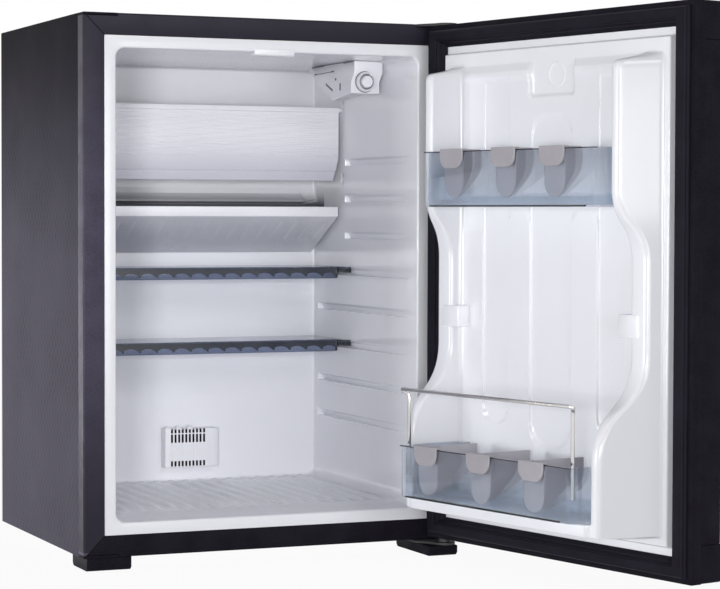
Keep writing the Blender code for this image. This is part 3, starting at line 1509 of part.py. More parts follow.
def door_liner():
    """White liner of the door: platform, recess, side walls in an S line, ledge and lugs."""
    _, _, bottom, top = door_bounds(PLACE["liner_edge"], RING_RATIO)
    flat, up = 0.0, PLATFORM_HEIGHT
    foot = DOOR_BOTTOM + PLATFORM_MARGIN
    head = PLACE["door_top"] - PLATFORM_MARGIN
    soft = (PLATFORM_INSET - GASKET_INNER) * 0.6
    rows = [
        liner_row(bottom, flat, flat, flat),
        liner_row(foot - soft, flat, flat, flat),
        liner_row(foot, up, up, up),
        liner_row(LEDGE_BOTTOM - soft, up, up, up),
        liner_row(LEDGE_BOTTOM, up, LOWER_LOBE, LEDGE_RISE),
        liner_row(LEDGE_TOP, up, LOWER_LOBE, LEDGE_RISE),
        liner_row(LEDGE_TOP + soft / 2.0, up, LOWER_LOBE, RECESS_RISE),
    ]
    for lobe, wide, narrow in ((LOWER_LOBE, LOWER_LOBE_TOP, LOWER_WAIST),
                               (UPPER_LOBE, PLACE["upper_lobe"], PLACE["upper_waist"])):
        for step in range(CURVE_STEPS + 1):
            low, high = min(wide, narrow), max(wide, narrow)
            height = low + (high - low) * step / CURVE_STEPS
            share = lobe_share(height, narrow, wide)
            rise = WAIST + (lobe - WAIST) * share
            rows.append(liner_row(height, up, rise, RECESS_RISE, share))
    rows += [
        liner_row(PLACE["shoulder"], up, UPPER_LOBE, RECESS_RISE),
        liner_row(PLACE["block_top"], up, up, up),
        liner_row(head, up, up, up),
        liner_row(head + soft, flat, flat, flat),
        liner_row(top, flat, flat, flat),
    ]
    count = len(rows[0])
    vertices = [point for row in rows for point in row]
    faces = []
    for row in range(len(rows) - 1):
        for step in range(count - 1):
            low = row * count + step
            faces.append((low, low + 1, low + count + 1, low + count))
    liner = solid("door_liner", vertices, faces, FINISH["white_plastic"], "door")
    liner.data.flip_normals()
    if liner.data.polygons[0].normal.y < 0.0:
        liner.data.flip_normals()
    wall = liner.modifiers.new("wall", "SOLIDIFY")
    wall.thickness = DOOR_LINER_WALL
    wall.offset = -1.0
    wall.use_even_offset = True
    join(liner, liner_lugs())
    liner.data.shade_smooth()
    liner.data.set_sharp_from_angle(angle=math.radians(30.0))


def lug_bottoms():
    """Heights of the three pairs of rack lugs on the door liner."""
    return (RACK_LOWER_BOTTOM + LUG_ABOVE_RACK, SPARE_LUG_BOTTOM, PLACE["rack_upper"] + LUG_ABOVE_RACK)


def liner_lugs():
    """Lugs on the side walls: two pairs that the racks hang on, and a spare pair at the waist."""
    base = PLACE["flange"] + RECESS_RISE
    tools = []
    for bottom in lug_bottoms():
        spare = bottom == SPARE_LUG_BOTTOM
        start = WALL_TOP_OUTER + WALL_TOP_DRIFT if spare else WALL_FOOT_INNER - DOOR_LINER_WALL / 2.0
        top = PLACE["flange"] + WAIST + DOOR_LINER_WALL if spare else base + LUG_DEPTH
        for edge, direction in ((0.0, 1.0), (CABINET_WIDTH, -1.0)):
            side_a, side_b = sorted((edge + direction * start,
                                     edge + direction * (WALL_FOOT_INNER + LUG_WIDTH)))
            low = (side_a, base - DOOR_LINER_WALL / 2.0, bottom)
            high = (side_b, top, bottom + LUG_HEIGHT)
            tools.append(block("lug", low, high, FINISH["white_plastic"], "door"))
    return tools


def rack(name, bottom, height, front, post):
    """Clear tray that drops over two lugs, with a socket post in each front corner if asked."""
    left, right = RACK_SIDE, CABINET_WIDTH - RACK_SIDE
    back = PLACE["flange"] + RECESS_RISE + RACK_BACK
    top = bottom + height
    clear = FINISH["smoky_clear"]
    corner = RACK_CORNER
    outline = [(left, back), (right, back)]
    for centre_x, start in ((right - corner, 0.0), (left + corner, 90.0)):
        for step in range(CORNER_STEPS):
            angle = math.radians(start + 90.0 * step / (CORNER_STEPS - 1))
            outline.append((centre_x + corner * math.cos(angle),
                            front - corner + corner * math.sin(angle)))
    body = prism(name, outline, "Z", bottom, top, clear, name)
    wall = RACK_WALL
    block_end = back + RACK_BLOCK_DEPTH
    inner_front = front - wall
    post_x = POST_WIDTH if post else wall
    post_y = POST_DEPTH if post else wall
    half = [
        (RACK_BLOCK, back + wall),
        (RACK_BLOCK, block_end),
        (wall, block_end),
        (wall, front - max(post_y, corner)),
        (max(post_x, corner), front - max(post_y, corner)) if post else (wall, inner_front - corner),
        (max(post_x, corner), inner_front),
    ]
    hollow = [(left + across, depth) for across, depth in half]
    hollow += [(right - across, depth) for across, depth in reversed(half)]
    if not post:
        hollow = [(left + across, depth) for across, depth in half if depth != half[3][1]]
        hollow += [(right - across, depth) for across, depth in reversed(half)
                   if depth != half[3][1]]
    tools = [prism("hollow", hollow, "Z", bottom + wall, top + wall, clear, name)]
    tools.append(block("low_back", (left + RACK_BLOCK, back - wall, bottom + RACK_BACK_HEIGHT),
                       (right - RACK_BLOCK, back + 2.0 * wall, top + wall), clear, name))
    lug_top = bottom + LUG_ABOVE_RACK + LUG_HEIGHT + CLEARANCE
    base = PLACE["flange"] + RECESS_RISE
    for edge, direction in ((0.0, 1.0), (CABINET_WIDTH, -1.0)):
        side_a, side_b = sorted((edge + direction * (RACK_SIDE - wall),
                                 edge + direction * (WALL_FOOT_INNER + LUG_WIDTH + CLEARANCE)))
        tools.append(block("lug_slot", (side_a, back - wall, bottom - wall),
                           (side_b, base + LUG_DEPTH + CLEARANCE, lug_top),
                           clear, name))
        if post:
            centre = (edge + direction * (RACK_SIDE + POST_WIDTH / 2.0), front - POST_DEPTH / 2.0)
            tools.append(bore(centre, BAIL_RADIUS + CLEARANCE, "Z", top - BAIL_SOCKET - CLEARANCE,
                              top + wall, name, 10))
    for tool in tools:
        cut(body, [tool])
    return body


def bottle_bail():
    """Chrome wire guard: two legs in the lower rack's posts and a bar across in front."""
    top = RACK_LOWER_BOTTOM + RACK_LOWER_HEIGHT
    leg_y = RACK_LOWER_FRONT - POST_DEPTH / 2.0
    bar_y = leg_y + BAIL_STEP
    bar_z = top + BAIL_HEIGHT
    leg_left = RACK_SIDE + POST_WIDTH / 2.0
    bar_left = leg_left - BAIL_SIDESTEP
    corners = [
        (leg_left, leg_y, top - BAIL_SOCKET),
        (leg_left, leg_y, bar_z - BAIL_BEND),
        (bar_left, bar_y, bar_z),
        (CABINET_WIDTH - bar_left, bar_y, bar_z),
        (CABINET_WIDTH - leg_left, leg_y, bar_z - BAIL_BEND),
        (CABINET_WIDTH - leg_left, leg_y, top - BAIL_SOCKET),
    ]
    pipe("bottle_bail", rounded_path(corners, BAIL_BEND, 3), BAIL_RADIUS, FINISH["chrome_wire"],
         "bottle_bail")


def divider_centres(level):
    """Middles of the three dividers of a rack, from the free side."""
    offsets = DIVIDERS_UPPER if level == "upper" else DIVIDERS_LOWER
    return [PLACE["centre"] + offset for offset in offsets]


def divider(name, centre, top, front):
    """Grey divider: a hook over the rack's front wall, a tongue inside it and an upright web."""
    gap, wall = CLEARANCE, DIVIDER_WALL
    grey = FINISH["grey_plastic"]
    outside = front + gap
    inside = front - RACK_WALL - gap
    half = DIVIDER_WIDTH / 2.0
    crest = top + gap + wall
    corner = DIVIDER_TAB_CORNER
    tab = [(centre - half, crest), (centre - half, top - DIVIDER_TAB + corner)]
    for middle, start in ((centre - half + corner, 180.0), (centre + half - corner, 270.0)):
        for step in range(CORNER_STEPS + 1):
            angle = math.radians(start + 90.0 * step / CORNER_STEPS)
            tab.append((middle + corner * math.cos(angle),
                        top - DIVIDER_TAB + corner + corner * math.sin(angle)))
    tab = [pair for index, pair in enumerate(tab) if index not in (2,)]
    tab.append((centre + half, crest))
    body = prism(name, tab, "Y", outside, outside + wall, grey, name)
    join(body, [block("bridge", (centre - half, inside - wall, top + gap),
                      (centre + half, outside + wall / 2.0, crest), grey, name)])
    reach = (RACK_UPPER_HEIGHT + RACK_LOWER_HEIGHT) / 2.0 - DIVIDER_WALL * 3.5
    narrow = DIVIDER_TONGUE_WIDTH / 2.0
    tongue_z = top - reach
    tongue = [(centre - half, crest - wall / 2.0), (centre - narrow, top - DIVIDER_TAB / 2.0),
              (centre - narrow * 0.9, tongue_z + narrow)]
    for step in range(1, 6):
        angle = math.radians(180.0 + 180.0 * step / 6)
        tongue.append((centre + narrow * 0.9 * math.cos(angle),
                       tongue_z + narrow + narrow * math.sin(angle)))
    tongue += [(centre + narrow * 0.9, tongue_z + narrow), (centre + narrow, top - DIVIDER_TAB / 2.0),
               (centre + half, crest - wall / 2.0)]
    back = PLACE["flange"] + RECESS_RISE + RACK_BACK + RACK_WALL + DIVIDER_TAB / 2.0
    depth = inside - back
    web = [
        (inside - wall / 2.0, top + gap + wall),
        (back, top + gap + wall),
        (back + depth * 0.15, top - reach * 0.62),
        (inside - depth * 0.18, tongue_z + wall),
        (inside - wall / 2.0, tongue_z + narrow * 0.5),
    ]
    join(body, [prism("tongue", tongue, "Y", inside - wall, inside, grey, name)])
    join(body, [prism("web", web, "X", centre - wall / 2.0, centre + wall / 2.0, grey, name)])


def racks_and_dividers():
    """Both racks, the wire guard and six dividers."""
    rack("rack_upper", PLACE["rack_upper"], RACK_UPPER_HEIGHT, RACK_UPPER_FRONT, False)
    rack("rack_lower", RACK_LOWER_BOTTOM, RACK_LOWER_HEIGHT, RACK_LOWER_FRONT, True)
    bottle_bail()
    for level, bottom, height, front in (
        ("upper", PLACE["rack_upper"], RACK_UPPER_HEIGHT, RACK_UPPER_FRONT),
        ("lower", RACK_LOWER_BOTTOM, RACK_LOWER_HEIGHT, RACK_LOWER_FRONT),
    ):
        for number, centre in enumerate(divider_centres(level)):
            divider(f"divider_{level}_{number + 1}", centre, bottom + height, front)


# Bodies and placing

def door_reach():
    """Corners of the open door in plan, in cabinet coordinates."""
    turn = math.radians(OPEN_ANGLE)
    corners = []
    for across in (0.0, CABINET_WIDTH):
        for depth in (PLACE["door_outer"], PLACE["door_inner"]):
            x, y = across - PLACE["axis_x"], depth - PLACE["axis_y"]
            corners.append((PLACE["axis_x"] + x * math.cos(turn) - y * math.sin(turn),
                            PLACE["axis_y"] + x * math.sin(turn) + y * math.cos(turn)))
    return corners


def place_bodies():
    """Empties for the cabinet, the door and everything that moves on them."""
    corners = door_reach()
    rear = PLACE["boiler_y"] + BOILER_RADIUS
    middle_x = (0.0 + max(x for x, _ in corners)) / 2.0
    middle_y = (min(y for _, y in corners) + rear) / 2.0
    origin = make_body("cabinet", (0.0, 0.0, 0.0))
    origin.location = (-middle_x, -middle_y, FOOT_HEIGHT)
    axis_y, axis_z = flap_axis()
    make_body("freezer_flap", (PLACE["left"], axis_y, axis_z), "cabinet")
    make_body("drip_tray", (PLACE["left"], PLACE["flap_front"], PLACE["tray_top"]), "cabinet")
    front = PLACE["back"] - SHELF_DEPTH
    make_body("shelf_upper", (PLACE["left"], front, runner_level(SHELF_UPPER_LEVEL)), "cabinet")
    make_body("shelf_lower", (PLACE["left"], front, runner_level(SHELF_LOWER_LEVEL)), "cabinet")
    across, height = knob_centre()
    make_body("thermostat_knob", (across, HOUSING_FRONT, height), "cabinet")
    door_foot = (PLACE["axis_x"], PLACE["axis_y"], DOOR_BOTTOM)
    make_body("door", door_foot, "cabinet", math.radians(OPEN_ANGLE))
    make_body("rack_upper", (RACK_SIDE, PLACE["flange"], PLACE["rack_upper"]), "door")
    make_body("rack_lower", (RACK_SIDE, PLACE["flange"], RACK_LOWER_BOTTOM), "door")
    make_body("bottle_bail", (RACK_SIDE, RACK_LOWER_FRONT, RACK_LOWER_BOTTOM), "rack_lower")
    for level, front in (("upper", RACK_UPPER_FRONT), ("lower", RACK_LOWER_FRONT)):
        for number, centre in enumerate(divider_centres(level)):
            seat = (centre, front, ORIGINS["rack_" + level].z)
            make_body(f"divider_{level}_{number + 1}", seat, "rack_" + level)


def build():
    """Model every piece of the fridge."""
    place_bodies()
    for piece in (
        cabinet_wrapper, base_plate, rear_plate, cabinet_foam, inner_liner, front_frame,
        hinge_blanks, feet, hinges, lock_catch, evaporator, freezer_flap, drip_tray, shelves,
        lamp_housing, lamp_lens, lamp_bulb, thermostat_knob, vent_cover, unit_straps, boiler,
        absorber_tank, absorber_coil, condenser, riser_pipe, evaporator_pipe, control_box,
        door_panel, door_foam, door_trims, door_caps, door_inner_frame, gasket, door_liner,
        racks_and_dividers,
    ):
        piece()


clear_scene()
FINISH = make_finishes()
PLACE = derive()
build()
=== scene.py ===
"""Looks of an open minibar fridge: its pieces, finishes, lights and camera."""

import json
import math

import bmesh
import bpy
import numpy as np
from mathutils import Matrix, Vector

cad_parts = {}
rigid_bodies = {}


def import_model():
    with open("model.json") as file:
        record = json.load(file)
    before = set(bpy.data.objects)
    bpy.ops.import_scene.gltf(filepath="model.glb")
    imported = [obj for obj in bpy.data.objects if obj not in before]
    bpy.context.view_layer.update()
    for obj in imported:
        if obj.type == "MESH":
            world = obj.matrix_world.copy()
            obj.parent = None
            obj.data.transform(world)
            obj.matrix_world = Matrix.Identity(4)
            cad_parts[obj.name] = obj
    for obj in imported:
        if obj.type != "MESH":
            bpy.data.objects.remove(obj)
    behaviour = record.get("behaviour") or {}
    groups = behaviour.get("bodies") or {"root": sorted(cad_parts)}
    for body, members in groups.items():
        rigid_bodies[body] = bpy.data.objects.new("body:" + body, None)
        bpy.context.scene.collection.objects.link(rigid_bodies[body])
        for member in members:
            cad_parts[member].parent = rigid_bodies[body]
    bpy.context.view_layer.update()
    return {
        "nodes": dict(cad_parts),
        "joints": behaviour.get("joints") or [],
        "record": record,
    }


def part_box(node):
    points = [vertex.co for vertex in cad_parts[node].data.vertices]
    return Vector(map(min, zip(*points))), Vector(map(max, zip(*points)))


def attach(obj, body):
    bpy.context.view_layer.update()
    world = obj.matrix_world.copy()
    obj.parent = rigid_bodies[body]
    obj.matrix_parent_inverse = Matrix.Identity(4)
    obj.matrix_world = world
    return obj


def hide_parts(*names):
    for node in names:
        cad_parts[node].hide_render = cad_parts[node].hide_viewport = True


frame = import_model()

bl_info = {
    "name": "Open Minibar Fridge",
    "version": (1, 0, 0),
    "blender": (4, 5, 0),
    "location": "View3D > Sidebar > Minibar",
    "description": "Builds the visible pieces and finishes of an open minibar fridge",
    "category": "Add Mesh",
}

# Places, all in metres. Cabinet coordinates run from the lower left corner of the cabinet's front
# face with the door shut: X to the right, Y to the back, Z up.

HOME = np.array((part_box("cabinet_wrapper")[0].x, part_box("frame_left")[0].y,
                 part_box("cabinet_wrapper")[0].z))
DOOR_JOINT = next(joint for joint in frame["joints"] if joint["child"] == "door")
HINGE = np.array(DOOR_JOINT["pos_m"]) - HOME
OPEN_TURN = math.radians(-DOOR_JOINT["range_deg"][0])

# The door and every body that hangs on it; the joints are listed from the cabinet outwards
DOOR_BODIES = {"door"}
for joint in frame["joints"]:
    if joint["parent"] in DOOR_BODIES:
        DOOR_BODIES.add(joint["child"])


def body_of_node(node):
    """Name of the body that a node belongs to."""
    bodies = frame["record"]["behaviour"]["bodies"]
    return next(body for body, members in bodies.items() if node in members)


def slot_of(node):
    """Material slot that the record gives a node."""
    return next(row["material_slot"] for row in frame["record"]["subparts"] if row["node"] == node)


def swung(points, angle):
    """Points turned by an angle a about the door's hinge axis: from the axis,
    x' = x cos a - y sin a and y' = x sin a + y cos a."""
    away = np.asarray(points, float) - HINGE
    cosine, sine = math.cos(angle), math.sin(angle)
    turned = away.copy()
    turned[..., 0] = away[..., 0] * cosine - away[..., 1] * sine
    turned[..., 1] = away[..., 0] * sine + away[..., 1] * cosine
    return turned + HINGE


def in_row(points, node):
    """A node's cabinet coordinates in the model's frame: a shift, for the door after its turn."""
    if body_of_node(node) in DOOR_BODIES:
        points = swung(points, OPEN_TURN)
    return np.asarray(points, float) + HOME


def read_vectors(rows, key):
    """A vector of each row of mesh data as an array."""
    values = np.empty(len(rows) * 3)
    rows.foreach_get(key, values)
    return values.reshape(-1, 3)


def node_points(node):
    """A node's vertices in cabinet coordinates; a node of the door is turned shut."""
    points = read_vectors(frame["nodes"][node].data.vertices, "co") - HOME
    return swung(points, -OPEN_TURN) if body_of_node(node) in DOOR_BODIES else points


def span(node):
    """Lowest and highest corner of a node in cabinet coordinates."""
    points = node_points(node)
    return points.min(0), points.max(0)


# Curves and surfaces

TINY = 1e-9


def lengths(vectors):
    """Lengths of vectors, kept above zero."""
    return np.maximum(np.linalg.norm(vectors, axis=-1, keepdims=True), TINY)


def eased(corners, radii, steps=5):
    """A path whose inner corners are rounded: each corner C between A and B becomes the curve
    (1-t)^2 P + 2t(1-t) C + t^2 Q, where P and Q lie a radius from C towards A and B. The corners
    may be an array of paths: the last two axes are the path's points and their coordinates."""
    corners = np.asarray(corners, float)
    t = np.linspace(0.0, 1.0, steps)[:, None]
    pieces = [corners[..., :1, :]]
    for index in range(1, corners.shape[-2] - 1):
        corner = corners[..., index:index + 1, :]
        into = corners[..., index - 1:index, :] - corner
        out = corners[..., index + 1:index + 2, :] - corner
        into_length, out_length = lengths(into), lengths(out)
        reach = np.minimum(np.minimum(into_length, out_length) * 0.48, radii[index])
        start = corner + into / into_length * reach
        end = corner + out / out_length * reach
        pieces.append(start * (1 - t) ** 2 + corner * 2 * t * (1 - t) + end * t ** 2)
    pieces.append(corners[..., -1:, :])
    return np.concatenate(pieces, axis=-2)


def eased_loop(corners, radii, steps=4):
    """A closed path whose corners are all rounded."""
    corners = np.asarray(corners, float)
    closed = np.vstack((corners[-1:], corners, corners[:1]))
    return eased(closed, [0, *radii, 0], steps)[1:-1]


def rise(value, start, end):
    """Smooth step 3t^2 - 2t^3 from 0 at the start to 1 at the end."""
    t = np.clip((np.asarray(value, float) - start) / (end - start), 0.0, 1.0)
    return t * t * (3.0 - 2.0 * t)


def between(value, start, full, fading, end):
    """1 between two places, 0 outside two others: one smooth step up times one down."""
    return rise(value, start, full) * (1.0 - rise(value, fading, end))


def patch(across, up, low, high, corner, soft):
    """Mask of a rounded rectangle, 1 inside and 0 outside, from its signed distance
    |max(|p|-h+r, 0)| + min(max(|p|-h+r), 0) - r, eased over a soft width."""
    middle = (np.array(low) + np.array(high)) / 2.0
    half = (np.array(high) - np.array(low)) / 2.0
    dx = np.abs(across - middle[0]) - half[0] + corner
    dz = np.abs(up - middle[1]) - half[1] + corner
    outside = np.hypot(np.maximum(dx, 0.0), np.maximum(dz, 0.0))
    distance = outside + np.minimum(np.maximum(dx, dz), 0.0) - corner
    return 1.0 - rise(distance, -soft, soft)


def joined_samples(*groups):
    """Sorted sample places from several lists, without near repeats."""
    places = np.unique(np.round(np.concatenate([np.atleast_1d(group) for group in groups]), 6))
    return places[np.concatenate(([True], np.diff(places) > 0.4e-4))]


def grid_faces(rows, cols, wrap_rows=False, wrap_cols=False):
    """Quads of a grid of points, joined end to start where it wraps."""
    index = np.arange(rows * cols).reshape(rows, cols)
    if wrap_rows:
        index = np.vstack((index, index[:1]))
    if wrap_cols:
        index = np.hstack((index, index[:, :1]))
    quads = np.stack((index[:-1, :-1], index[:-1, 1:], index[1:, 1:], index[1:, :-1]), -1)
    return quads.reshape(-1, 4)


def tube_between(loops, ends=True):
    """A shell of points and faces through loops of the same count of points."""
    loops = np.asarray(loops, float)
    rows, cols = loops.shape[:2]
    faces = grid_faces(rows, cols, wrap_cols=True).tolist()
    if ends:
        faces.append(list(range(cols)))
        faces.append(list(range((rows - 1) * cols, rows * cols)))
    return loops.reshape(-1, 3), faces


def merged(shells):
    """Several shells of (points, faces) as one."""
    points, faces, count = [], [], 0
    for shell_points, shell_faces in shells:
        points.append(np.asarray(shell_points, float).reshape(-1, 3))
        faces += [[corner + count for corner in face] for face in shell_faces]
        count += len(points[-1])
    return np.vstack(points), faces


def drawn_in(loop, amount):
    """A loop whose points are pulled towards their mean by an amount."""
    inward = loop.mean(0) - loop
    return loop + inward / lengths(inward) * amount


def slab(low, high):
    """A box between two corners."""
    low, high = np.minimum(low, high), np.maximum(low, high)
    square = np.array(((0, 0), (1, 0), (1, 1), (0, 1)))
    return tube_between([low + np.column_stack((square, np.full(4, level))) * (high - low)
                         for level in (0, 1)])


def rounded_loop(left, right, front, back, corner, height, steps):
    """A level rounded rectangle of points: an arc of a radius about each corner's centre."""
    angles = np.linspace(0.0, math.pi / 2.0, steps + 1)
    centres = ((right - corner, back - corner), (left + corner, back - corner),
               (left + corner, front + corner), (right - corner, front + corner))
    parts = []
    for turn, (x, y) in enumerate(centres):
        bend = angles + turn * math.pi / 2.0
        parts.append(np.column_stack((x + corner * np.cos(bend), y + corner * np.sin(bend),
                                      np.full(len(bend), height))))
    return np.vstack(parts)


def softened_slab(low, high, radius, steps=3):
    """A box with rounded upright edges and eased ends: rounded rectangles, drawn in by
    r (1 - sin a) at both ends and r (1 - cos a) from them, are stacked along Z."""
    angles = np.linspace(0.0, math.pi / 2.0, steps + 1)
    loops = []
    for level, side in ((low[2], 1.0), (high[2], -1.0)):
        for angle in (angles if side > 0 else angles[::-1]):
            inset = radius * (1.0 - math.sin(angle))
            height = level + side * radius * (1.0 - math.cos(angle))
            loops.append(rounded_loop(low[0] + inset, high[0] - inset, low[1] + inset,
                                      high[1] - inset, max(radius - inset, radius * 0.2),
                                      height, steps))
    return tube_between(loops)


def plate(outline, axis, start, end, ease=0.0004):
    """A flat plate from an outline in two axes, between two places on the third, with eased
    edges: the end outlines are drawn in along the mean normal of their neighbouring edges."""
    outline = np.asarray(outline, float)
    edge = np.roll(outline, -1, axis=0) - outline
    edge /= lengths(edge)
    normal = np.column_stack((-edge[:, 1], edge[:, 0]))
    normal = normal + np.roll(normal, 1, axis=0)
    normal /= lengths(normal)
    x, z = outline.T
    if np.sum(x * np.roll(z, -1) - np.roll(x, -1) * z) < 0.0:
        normal = -normal
    step = ease if end > start else -ease
    loops = []
    for place, inset in ((start, ease), (start + step, 0.0), (end - step, 0.0), (end, ease)):
        flat = outline + normal * inset
        level = np.full(len(flat), place)
        loops.append(np.column_stack({"X": (level, flat[:, 0], flat[:, 1]),
                                      "Y": (flat[:, 0], level, flat[:, 1])}[axis]))
    return tube_between(loops)


def turned_shell(profile, centre, axis, sides):
    """A profile of (radius, along) carried round an axis: radius cos a and radius sin a."""
    profile = np.asarray(profile, float)
    angle = np.linspace(0.0, 2.0 * math.pi, sides, endpoint=False)
    ring_a, ring_b = profile[:, :1] * np.cos(angle), profile[:, :1] * np.sin(angle)
    along = np.repeat(profile[:, 1:2], sides, axis=1)
    order = {"X": (along, ring_a, ring_b), "Y": (ring_a, along, ring_b)}[axis]
    return tube_between(np.stack(order, -1) + np.asarray(centre))


def turned_ring(profile, centre):
    """A closed profile of (radius, depth) carried round an axis along the depth."""
    points, faces = turned_shell(profile + profile[:1], centre, "Y", 56)
    return points, faces[:-2]


def wire_shell(path, radius, sides):
    """A round wire along a path. Its frame is carried along without twist: each side vector is
    the last one with its part along the new direction taken away."""
    along = np.gradient(path, axis=0)
    along /= np.linalg.norm(along, axis=1, keepdims=True)
    side = np.cross(along[0], (0.31, 0.27, 0.91))
    sides_list = []
    for direction in along:
        side = side - direction * np.dot(side, direction)
        side /= np.linalg.norm(side)
        sides_list.append(side)
    side = np.array(sides_list)[:, None, :]
    other = np.cross(along, side[:, 0])[:, None, :]
    angle = np.linspace(0.0, 2.0 * math.pi, sides, endpoint=False)[None, :, None]
    path = path[:, None, :]
    ring = path + radius * (np.cos(angle) * side + np.sin(angle) * other)
    head = path[:1] + (ring[:1] - path[:1]) * 0.6 - along[0] * radius * 0.3
    tail = path[-1:] + (ring[-1:] - path[-1:]) * 0.6 + along[-1] * radius * 0.3
    return tube_between(np.concatenate((head, ring, tail)))


# Pieces

MERGE = 1e-6
FLAT = math.radians(0.6)
EDGE_ANGLE = math.radians(32.0)


def placed(mesh, node, stands_for=True):
    """A piece from a mesh, carried by the body of a node and in its place or beside it."""
    piece = bpy.data.objects.new(mesh.name, mesh)
    bpy.context.scene.collection.objects.link(piece)
    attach(piece, body_of_node(node))
    if stands_for:
        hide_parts(node)
    return piece


def new_piece(name, shell, finishes, node, smooth=40.0, stands_for=True):
    """A piece from a shell in a node's cabinet coordinates, with the finishes of some names."""
    points, faces = shell
    mesh = bpy.data.meshes.new(name)
    mesh.from_pydata(in_row(points, node).reshape(-1, 3).tolist(), [], faces)
    shape = bmesh.new()
    shape.from_mesh(mesh)
    bmesh.ops.remove_doubles(shape, verts=shape.verts, dist=MERGE)
    bmesh.ops.recalc_face_normals(shape, faces=shape.faces)
    shape.to_mesh(mesh)
    shape.free()
    mesh.shade_smooth()
    mesh.set_sharp_from_angle(angle=math.radians(smooth))
    for finish in finishes:
        mesh.materials.append(FINISH[finish])
    return placed(mesh, node, stands_for)


def softened(name, node, width, finish=None, reshape=None):
    """A copy of a node with its edges rounded: triangles in one plane are joined first. Its
    points may be moved by a function of their cabinet coordinates."""
    shape = bmesh.new()
    shape.from_mesh(frame["nodes"][node].data)
    bmesh.ops.remove_doubles(shape, verts=shape.verts, dist=MERGE)
    bmesh.ops.dissolve_limit(shape, angle_limit=FLAT, verts=shape.verts, edges=shape.edges)
    mesh = bpy.data.meshes.new(name)
    shape.to_mesh(mesh)
    shape.free()
    if reshape:
        points = reshape(read_vectors(mesh.vertices, "co") - HOME) + HOME
        mesh.vertices.foreach_set("co", points.ravel())
    mesh.materials.clear()
    mesh.materials.append(FINISH[finish or FINISH_OF_SLOT[slot_of(node)]])
    mesh.shade_smooth()
    piece = placed(mesh, node)
    if width > 0.0:
        bevel = piece.modifiers.new("edges", "BEVEL")
        bevel.width = width
        bevel.segments = 2
        bevel.limit_method = "ANGLE"
        bevel.angle_limit = EDGE_ANGLE
        bevel.use_clamp_overlap = True
        bevel.harden_normals = True
    else:
        mesh.set_sharp_from_angle(angle=math.radians(35.0))


def second_finish(piece, where):
    """Put a piece's second finish on the faces of a mask."""
    piece.data.polygons.foreach_set("material_index", where.astype(np.int32))


def faces_from(piece, first):
    """Mask of a piece's faces from a first one on."""
    return np.arange(len(piece.data.polygons)) >= first


def face_towards(piece, point):
    """Turn an open sheet's faces so that the one nearest a point in the model's frame looks
    towards it, after its faces agree with each other."""
    mesh = piece.data
    best = min(mesh.polygons, key=lambda face: (face.center - Vector(point)).length)
    if best.normal.dot(Vector(point) - best.center) < 0.0:
        mesh.flip_normals()


def thicken(piece, wall):
    """Give a sheet its wall on the side away from its faces."""
    step = piece.modifiers.new("wall", "SOLIDIFY")
    step.thickness = wall
    step.offset = -1.0
    step.use_even_offset = False


def mark_painted_shade_facing(piece, axis, start, full):
    """Keep in a piece's points how far they look along an axis: the dot product of the normal with
    the axis, eased between two values. The finish paints shade with it."""
    normals = read_vectors(piece.data.vertices, "normal")
    value = rise(normals @ np.array(axis), start, full)
    layer = piece.data.attributes.new("facing", "FLOAT", "POINT")
    layer.data.foreach_set("value", value.astype(np.float32))


# Finishes

FINISH = {}
FINISH_OF_SLOT = {
    "side_steel": "side_steel", "plain_steel": "zinc", "black_plastic": "grained_black",
    "white_plastic": "moulded_white", "grey_plastic": "divider_grey", "smoky_clear": "smoky",
    "blue_clear": "blue_clear", "lamp_clear": "milky", "chrome_wire": "chrome",
    "cold_aluminium": "aluminium", "unit_black": "enamel", "seal_rubber": "soft_black",
    "foam": "foam",
}


def give(tree, socket, value):
    """Give an input a number or the socket that feeds it."""
    if isinstance(value, bpy.types.NodeSocket):
        tree.links.new(value, socket)
    else:
        socket.default_value = value


def feed(tree, kind, settings=None, **inputs):
    """A shader node with its settings; an input goes by its name or by i and its place."""
    node = tree.nodes.new("ShaderNode" + kind)
    for key, value in (settings or {}).items():
        setattr(node, key, value)
    for key, value in inputs.items():
        place = int(key[1:]) if key[0] == "i" and key[1:].isdigit() else key.replace("_", " ")
        give(tree, node.inputs[place], value)
    return node


def maths(tree, operation, *values):
    """A calculation with numbers and sockets."""
    inputs = {f"i{place}": value for place, value in enumerate(values)}
    return feed(tree, "Math", {"operation": operation}, **inputs).outputs[0]


def ranged(tree, value, low=0.0, high=1.0, to_low=0.0, to_high=1.0, course="LINEAR"):
    """A value carried from one range to another."""
    return feed(tree, "MapRange", {"interpolation_type": course}, i0=value, i1=low, i2=high,
                i3=to_low, i4=to_high).outputs[0]


def blended(tree, share, first, second):
    """Two colours mixed by a share."""
    return feed(tree, "Mix", {"data_type": "RGBA"}, i0=share, i6=first, i7=second).outputs[2]


def noise(tree, vector, scale, detail, roughness=0.5):
    """Cloudy noise."""
    return feed(tree, "TexNoise", Vector=vector, Scale=scale, Detail=detail,
                Roughness=roughness).outputs["Fac"]


def make_group(name, inputs, outputs=("Colour", "Roughness", "Height")):
    """An empty shader node group with named sockets, and the sockets inside it: a vector, then
    colours or numbers as their defaults say; out go a colour and numbers."""
    group = bpy.data.node_groups.new(name, "ShaderNodeTree")
    group.interface.new_socket(name="Vector", in_out="INPUT", socket_type="NodeSocketVector")
    for label, default in inputs.items():
        kind = "NodeSocketColor" if isinstance(default, tuple) else "NodeSocketFloat"
        socket = group.interface.new_socket(name=label, in_out="INPUT", socket_type=kind)
        socket.default_value = default
    for label in outputs:
        kind = "NodeSocketColor" if label == "Colour" else "NodeSocketFloat"
        group.interface.new_socket(name=label, in_out="OUTPUT", socket_type=kind)
    given = group.nodes.new("NodeGroupInput").outputs
    return group, given, group.nodes.new("NodeGroupOutput").inputs


